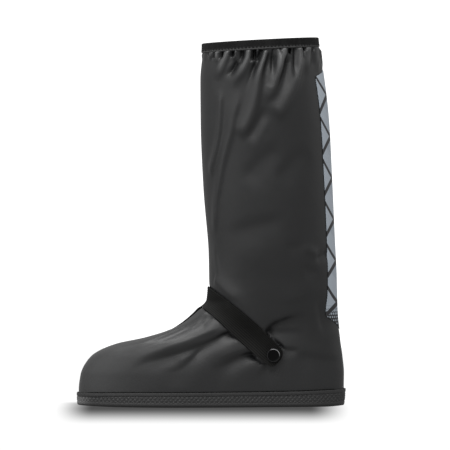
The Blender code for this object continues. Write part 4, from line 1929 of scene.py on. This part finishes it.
    def build_bead(self) -> bpy.types.Object:
        """Makes the dark bead along the joint of the upper and the lip; its near-black paints the shade line
        there.

        Returns:
            The dressed piece.
        """
        outline = self.last.point(0.0, turns(self.columns // 2))
        normals = self.last.plan_normals(outline)
        rim = self.rim(outline[:, 0])
        from_end = self.last.length / 2 - np.abs(outline[:, 0])
        full = self.bead_thin + (1 - self.bead_thin) * smoothstep(self.bead_end / 2, self.bead_end, from_end)
        sculpt = Sculpt()
        rows = []
        for turn in turns(self.bead_sides):
            out = self.bead_out + self.bead_radius * math.cos(turn)
            up = self.bead_up + self.bead_radius * math.sin(turn)
            ring = outline + normals * (out * full)[:, None]
            ring[:, 2] = rim + up * full
            rows.append(sculpt.add_points(ring))
        sculpt.skin(closed(np.stack(rows)), around=True, flip=True)
        bead = sculpt.build("seam_shade_bead", [self.painted_shade_black.material()], NO_CREASE)
        return dress(bead, "sole_rubber")


@dataclass(frozen=True)
class CollarBinding:
    """Tape folded over the collar, with a row of stitches on each leaf."""

    last: Last
    wall: float = 0.0012
    gap: float = 0.0003
    thickness: float = 0.0009
    height: float = 0.0092
    columns: int = 480
    leaf_rows: int = 10
    fold_rows: int = 10
    ripple: float = 0.00018
    ripples: int = 41
    fold_round: float = 0.7
    stitch_pitch: float = 0.0040
    stitch_length: float = 0.0026
    stitch_radius: float = 0.00045
    stitch_above_edge: float = 0.0019
    stitch_lift: float = 0.3
    stitch_blunt: float = 4.0
    stitch_rings: int = 7
    stitch_sides: int = 6
    samples: int = 2000
    tape: BindingTape = field(default_factory=BindingTape)
    thread: SewingThread = field(default_factory=SewingThread)

    def frame(self, angle: Array) -> tuple[Array, Array, Array]:
        """Frame of the collar's edge.

        Args:
            angle: angles all round the last.

        Returns:
            The edge, its outward directions and the direction down the wall.
        """
        edge = self.last.point(self.last.top, angle)
        down = unit(self.last.point(self.last.tape, angle) - edge)
        return edge, self.last.plan_normals(edge), down

    def profile(self) -> Array:
        """Section of the tape.

        Returns:
            Pairs of (out, down): outer leaf, fold, inner leaf, and back inside.
        """
        far = self.gap + self.thickness
        inside = -self.wall - self.gap
        middle = (far + inside - self.thickness) / 2
        half = far - middle
        drops = np.linspace(self.height, 0.0, self.leaf_rows)
        turn = np.linspace(0.0, math.pi, self.fold_rows)
        outer = np.stack([np.full_like(drops, far), drops], axis=-1)
        fold = np.stack([middle + half * np.cos(turn), -far * np.sin(turn) ** self.fold_round], axis=-1)
        inner = np.stack([np.full_like(drops, inside - self.thickness), drops[::-1]], axis=-1)
        back = [(inside, self.height), (inside, -self.gap), (self.gap, -self.gap), (self.gap, self.height)]
        return np.concatenate([outer, fold[1:-1], inner, back])

    def build(self) -> bpy.types.Object:
        """Makes the tape.

        Returns:
            The dressed piece.
        """
        angle = turns(self.columns)
        edge, outward, down = self.frame(angle)
        profile = self.profile()
        wave = self.ripple * np.cos(self.ripples * angle)
        across = run_along(profile)
        along = run_along(closed(edge))
        grid = []
        for out, drop in profile:
            sway = wave * smoothstep(0.0, self.height, drop) * (1.0 if out > self.gap else 0.0)
            grid.append(edge + outward * (out + sway)[:, None] + down * drop)
        flat = np.stack(np.meshgrid(along, np.append(across, across[-1] + self.thickness)), axis=-1)
        sculpt = Sculpt()
        numbers = sculpt.add_points(np.stack(grid))
        sculpt.skin(closed(numbers), around=True, flip=True, flat=flat)
        tape = sculpt.build("folded_binding", [self.tape.material()], crease=50.0)
        return dress(tape, "binding_tape", "collar_binding")

    def build_stitches(self) -> bpy.types.Object:
        """Makes the stitches on both leaves as one piece.

        Returns:
            The dressed piece.
        """
        fine = np.linspace(0.0, math.tau, self.samples)
        length = run_along(self.last.point(self.last.top, fine))
        count = round(length[-1] / self.stitch_pitch)
        drop = self.height - self.stitch_above_edge
        shares = np.linspace(0.0, 1.0, self.stitch_rings)
        swell = self.stitch_radius * np.sqrt(1 - np.abs(2 * shares - 1) ** self.stitch_blunt)
        sculpt = Sculpt()
        for out in (self.gap + self.thickness, -self.wall - self.gap - self.thickness):
            lift = math.copysign(self.stitch_lift * self.stitch_radius, out)
            for start in np.arange(count) * length[-1] / count:
                angle = np.interp(start + shares * self.stitch_length, length, fine)
                at, outward, down = self.stitch_frame(angle)
                middle = at + outward * (out + lift) + down * drop
                sculpt.tube(middle, outward, down, swell, self.stitch_sides)
        stitches = sculpt.build("binding_stitches", [self.thread.material()], NO_CREASE)
        return dress(stitches, "binding_tape")

    def stitch_frame(self, angle: Array) -> tuple[Array, Array, Array]:
        """Frame of the collar's edge at angles that don't close a ring.

        Args:
            angle: a few angles.

        Returns:
            The edge, its outward directions and the direction down the wall.
        """
        edge = self.last.point(self.last.top, angle)
        down = unit(self.last.point(self.last.tape, angle) - edge)
        along = self.last.point(self.last.top, angle + self.last.step) - edge
        across = unit(np.cross(down, along))
        return edge, across * np.sign((across * self.last.normal(self.last.top, angle)).sum()), down


@dataclass(frozen=True)
class SnapFastener:
    """Snap that closes the strap: a stud in the upper, and a socket with a dished cap."""

    last: Last
    strap: InstepStrap
    radius: float = 0.0075
    height: float = 0.0021
    dish: float = 0.0005
    rim_round: float = 0.0007
    under_cap: float = 0.0051
    post: float = 0.0017
    socket_radius: float = 0.0050
    socket_top: float = 0.0030
    socket_bottom: float = 0.0016
    socket_bore: float = 0.0024
    stud_top: float = 0.0026
    gap: float = 0.0003
    rim_from: float = 0.35 * math.pi
    rim_steps: int = 9
    dish_hollow: float = 0.0001
    foot: float = 0.3
    painted_glint_side: tuple[float, float, float] = (0.55, 0.0, 0.83)
    search: tuple[float, float] = (0.05, 2.4)
    segments: int = 72
    enamel: BlackEnamel = field(default_factory=BlackEnamel)

    # Way up out of the dish: rim rounds in from the edge, and the share of the dish's depth
    DISH: tuple[tuple[float, float], ...] = ((3.2, 1.0), (2.3, 0.75), (1.6, 0.15), (1.1, 0.0))

    def frame(self) -> tuple[Array, Array]:
        """Finds the snap's axis.

        Returns:
            Where it meets the skin, and a turn that takes +Z to it.
        """

        def past(angle: Array) -> Array:
            """Distance along the foot past the snap."""
            return self.last.point(self.strap.level(-angle, np.zeros(1)), -angle)[:, 0] - self.strap.snap_x

        low, high = self.search
        angle = -solve(past, np.array([low]), np.array([high]))
        level = self.strap.level(angle, np.zeros(1))
        axis = Vector(self.last.normal(level, angle)[0])
        turn = np.array(axis.to_track_quat("Z", "Y").to_matrix())
        return self.last.point(level, angle)[0], turn

    def profile(self) -> Array:
        """Half section of the cap and socket.

        Returns:
            Pairs of (radius, height), down the outer side.
        """
        top = self.under_cap + self.height
        rim = self.rim_round
        turn = np.linspace(self.rim_from, -math.pi / 2, self.rim_steps)
        out = self.radius - rim + rim * np.cos(turn)
        round_rim = np.stack([out, top - rim + rim * np.sin(turn)], axis=-1)
        floor = top - self.dish
        start = [(0.0, floor - self.dish_hollow), (self.radius / 2, floor - self.dish_hollow / 2)]
        start += [(self.radius - inset * rim, top - share * self.dish) for inset, share in self.DISH]
        end = [
            (self.radius - self.foot * rim, self.under_cap),
            (self.post, self.under_cap),
            (self.post, self.socket_top),
            (self.socket_radius, self.socket_top),
            (self.socket_radius, self.socket_bottom),
            (self.socket_bore, self.socket_bottom),
            (self.socket_bore, self.stud_top + self.gap),
            (0.0, self.stud_top + self.gap),
        ]
        return np.concatenate([start, round_rim, end])

    def build(self) -> bpy.types.Object:
        """Makes the cap and socket.

        Returns:
            The dressed piece.
        """
        place, turn = self.frame()
        profile = self.profile()
        angle = turns(self.segments)
        circle = np.stack([np.cos(angle), np.sin(angle), np.zeros_like(angle)], axis=-1)
        sculpt = Sculpt()
        rows = []
        for radius, height in profile[1:-1]:
            rows.append(sculpt.add_points((circle * radius + [0.0, 0.0, height]) @ turn.T + place))
        # nearness to the side where the rim gets its painted glint
        lightened = circle @ turn.T @ np.array(self.painted_glint_side)
        flat = np.stack(np.broadcast_arrays(profile[1:-1, :1], np.append(lightened, lightened[0])[None, :]), axis=-1)
        sculpt.skin(np.stack(rows), around=True, flip=True, flat=flat)
        for (_, height), row, flip in ((profile[0], rows[0], False), (profile[-1], rows[-1], True)):
            tip = sculpt.add_points((np.array([[0.0, 0.0, height]]) @ turn.T + place))[0]
            fan = np.stack([np.full(self.segments, tip), row, np.roll(row, -1)], axis=-1)
            sculpt.add_faces(fan[:, ::-1] if flip else fan)
        cap = sculpt.build("dished_cap", [self.enamel.material()], crease=40.0)
        return dress(cap, "snap_black", "snap_cap")


@dataclass(frozen=True)
class ReflectiveStrip:
    """Reflective film up the back, pointed at both ends, that follows the folded skin."""

    upper: Upper
    top_width: float = 0.063
    bottom_width: float = 0.056
    top: float = 0.3740
    bottom: float = 0.0850
    top_slope: float = 0.27
    bottom_slope: float = 0.56
    gap: float = 0.0003
    thickness: float = 0.0004
    columns: int = 40
    rows: int = 190
    widest_turn: float = 1.2
    samples: int = 48
    film: ReflectiveFilm = field(default_factory=ReflectiveFilm)

    def lay(self, arc: Array, z: Array) -> tuple[Array, Array]:
        """Level and angle of places on the back.

        Args:
            arc: distance round the back from its middle line.
            z: height.

        Returns:
            Levels and angles.
        """
        last = self.upper.last
        back = np.full_like(z, math.pi)

        def level_at(angle: Array) -> Array:
            """Level of the height z at an angle."""
            low, high = np.ones_like(z), np.full_like(z, last.tape)
            return solve(lambda level: last.point(level, angle)[..., 2] - z, low, high)

        spread = np.linspace(0.0, self.widest_turn, self.samples)
        length = run_along(last.point(level_at(back)[..., None], math.pi + spread))
        turned = np.empty_like(z)
        for place in np.ndindex(z.shape):
            turned[place] = np.interp(abs(arc[place]), length[place], spread)
        angle = math.pi + np.copysign(turned, arc)
        return level_at(angle), angle

    def build(self) -> bpy.types.Object:
        """Makes the film.

        Returns:
            The dressed piece.
        """
        side = np.linspace(-0.5, 0.5, self.columns + 1)[None, :]
        share = np.linspace(0.0, 1.0, self.rows + 1)[:, None]
        arc = side * (self.bottom_width + share * (self.top_width - self.bottom_width))
        low = self.bottom + self.bottom_slope * np.abs(arc)
        high = self.top - self.top_slope * np.abs(arc)
        z = low + share * (high - low)
        points, normals, _ = self.upper.place(*self.lay(arc, z))
        inner = points + normals * self.gap
        sculpt = Sculpt()
        sculpt.sheet(inner + normals * self.thickness, inner, np.stack([arc, z], axis=-1))
        strip = sculpt.build("reflective_film", [self.film.material()])
        return dress(strip, "reflective_film", "reflective_strip")


# Studio


class Lamp(NamedTuple):
    """A soft box that faces the cover: where it stands, its size and its power."""

    name: str
    place: tuple[float, float, float]
    size: float
    power: float


LAMPS = (
    Lamp("top", (-0.3, 0.3, 2.2), 1.5, 29.0),
    Lamp("top_front", (-0.3, -1.2, 2.0), 1.5, 25.0),
    Lamp("front_wide", (-0.4, -2.4, 1.6), 3.0, 8.0),
    Lamp("left_wide", (-2.0, -1.0, 1.2), 3.0, 18.0),
    Lamp("right", (2.3, 0.2, 1.0), 1.5, 3.0),
)


@dataclass(frozen=True)
class Studio:
    """Pale floor, white surround, soft lights and the camera."""

    distance: float = 5.2
    elevation: float = math.radians(0.8)
    aim: tuple[float, float, float] = (0.0153, 0.0, 0.2009)
    view_size: float = 0.5009
    sensor: float = 36.0
    floor_half: float = 1.6
    apron_start: float = -0.057
    apron_bend: float = 0.006
    apron_fall: float = math.radians(15.0)
    apron_steps: int = 9
    surround_radius: float = 14.0
    surround_glow: float = 1.3
    dim: float = 0.43
    floor: PaleFloor = field(default_factory=PaleFloor)

    def build_floor(self) -> None:
        """Makes the floor: flat under the sole, falling away before it like a sheet of card."""
        bend = self.apron_bend
        before = np.append(self.floor_half, np.linspace(bend, 0.0, self.apron_steps))
        drop = np.where(before > bend, before - bend / 2, before**2 / (2 * bend))
        y = np.append(self.apron_start - before, self.floor_half)
        z = np.append(-drop * math.tan(self.apron_fall), 0.0)
        sides = np.array([-self.floor_half, self.floor_half])
        grid = np.stack(np.broadcast_arrays(sides[None, :], y[:, None], z[:, None]), axis=-1)
        sculpt = Sculpt()
        sculpt.skin(sculpt.add_points(grid))
        floor = sculpt.build("floor", [self.floor.material()])
        floor.visible_diffuse = False
        floor.visible_glossy = False

    def build_surround(self) -> None:
        """Makes the white surround, which only the camera sees."""
        graph = Graph("white_surround")
        glow = graph.finish(
            {
                "Base Color": (0.0, 0.0, 0.0, 1.0),
                "Specular IOR Level": 0.0,
                "Emission Color": (1.0, 1.0, 1.0, 1.0),
                "Emission Strength": self.surround_glow,
            }
        )
        bpy.ops.mesh.primitive_uv_sphere_add(radius=self.surround_radius, segments=48, ring_count=24)
        surround = bpy.context.active_object
        surround.name = "surround"
        surround.data.materials.append(glow)
        surround.visible_diffuse = False
        surround.visible_glossy = False
        surround.visible_shadow = False

    def stand(self, name: str, device: bpy.types.ID, place: Vector) -> bpy.types.Object:
        """Stands a lamp or camera at a place, facing what is shown.

        Args:
            name: the new object's name.
            device: the light or camera.
            place: where it stands.

        Returns:
            The new object.
        """
        holder = bpy.data.objects.new(name, device)
        turn = (Vector(self.aim) - place).to_track_quat("-Z", "Y")
        holder.matrix_world = Matrix.Translation(place) @ turn.to_matrix().to_4x4()
        bpy.context.scene.collection.objects.link(holder)
        return holder

    def build_lights(self) -> None:
        """Makes the soft boxes and the dim world."""
        for lamp in LAMPS:
            light = bpy.data.lights.new(lamp.name, "AREA")
            light.shape = "DISK"
            light.size = lamp.size
            light.energy = lamp.power
            self.stand(lamp.name, light, Vector(lamp.place))
        world = bpy.data.worlds.new("studio")
        world.use_nodes = True
        background = world.node_tree.nodes["Background"]
        background.inputs["Color"].default_value = (1.0, 1.0, 1.0, 1.0)
        background.inputs["Strength"].default_value = self.dim
        bpy.context.scene.world = world

    def build_camera(self) -> None:
        """Makes the camera at the photograph's angle."""
        camera = bpy.data.cameras.new("camera")
        camera.sensor_width = self.sensor
        camera.lens = self.sensor * self.distance / self.view_size
        camera.clip_end = 4 * self.surround_radius
        away = Vector((0.0, -math.cos(self.elevation), math.sin(self.elevation))) * self.distance
        bpy.context.scene.camera = self.stand("camera", camera, Vector(self.aim) + away)

    def build(self) -> None:
        """Makes the whole studio."""
        self.build_floor()
        self.build_surround()
        self.build_lights()
        self.build_camera()
        bpy.context.scene.view_settings.view_transform = "Standard"


def main() -> None:
    """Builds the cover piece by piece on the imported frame."""
    logging.basicConfig(level=logging.INFO, format="%(name)s: %(message)s")
    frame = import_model()
    last = Last()
    strap = InstepStrap(last)
    upper = Upper(last, FoldChart(last), strap)
    upper.build()
    outsole = Outsole(last)
    outsole.build()
    outsole.build_bead()
    binding = CollarBinding(last)
    binding.build()
    binding.build_stitches()
    strap.build()
    strap.build_pinch()
    snap = SnapFastener(last, strap)
    cap = snap.build()
    stud = frame["nodes"]["snap_stud"]
    stud.data.materials.clear()
    stud.data.materials.append(cap.data.materials[0])
    ReflectiveStrip(upper).build()
    Studio().build()


if __name__ == "__main__":
    main()
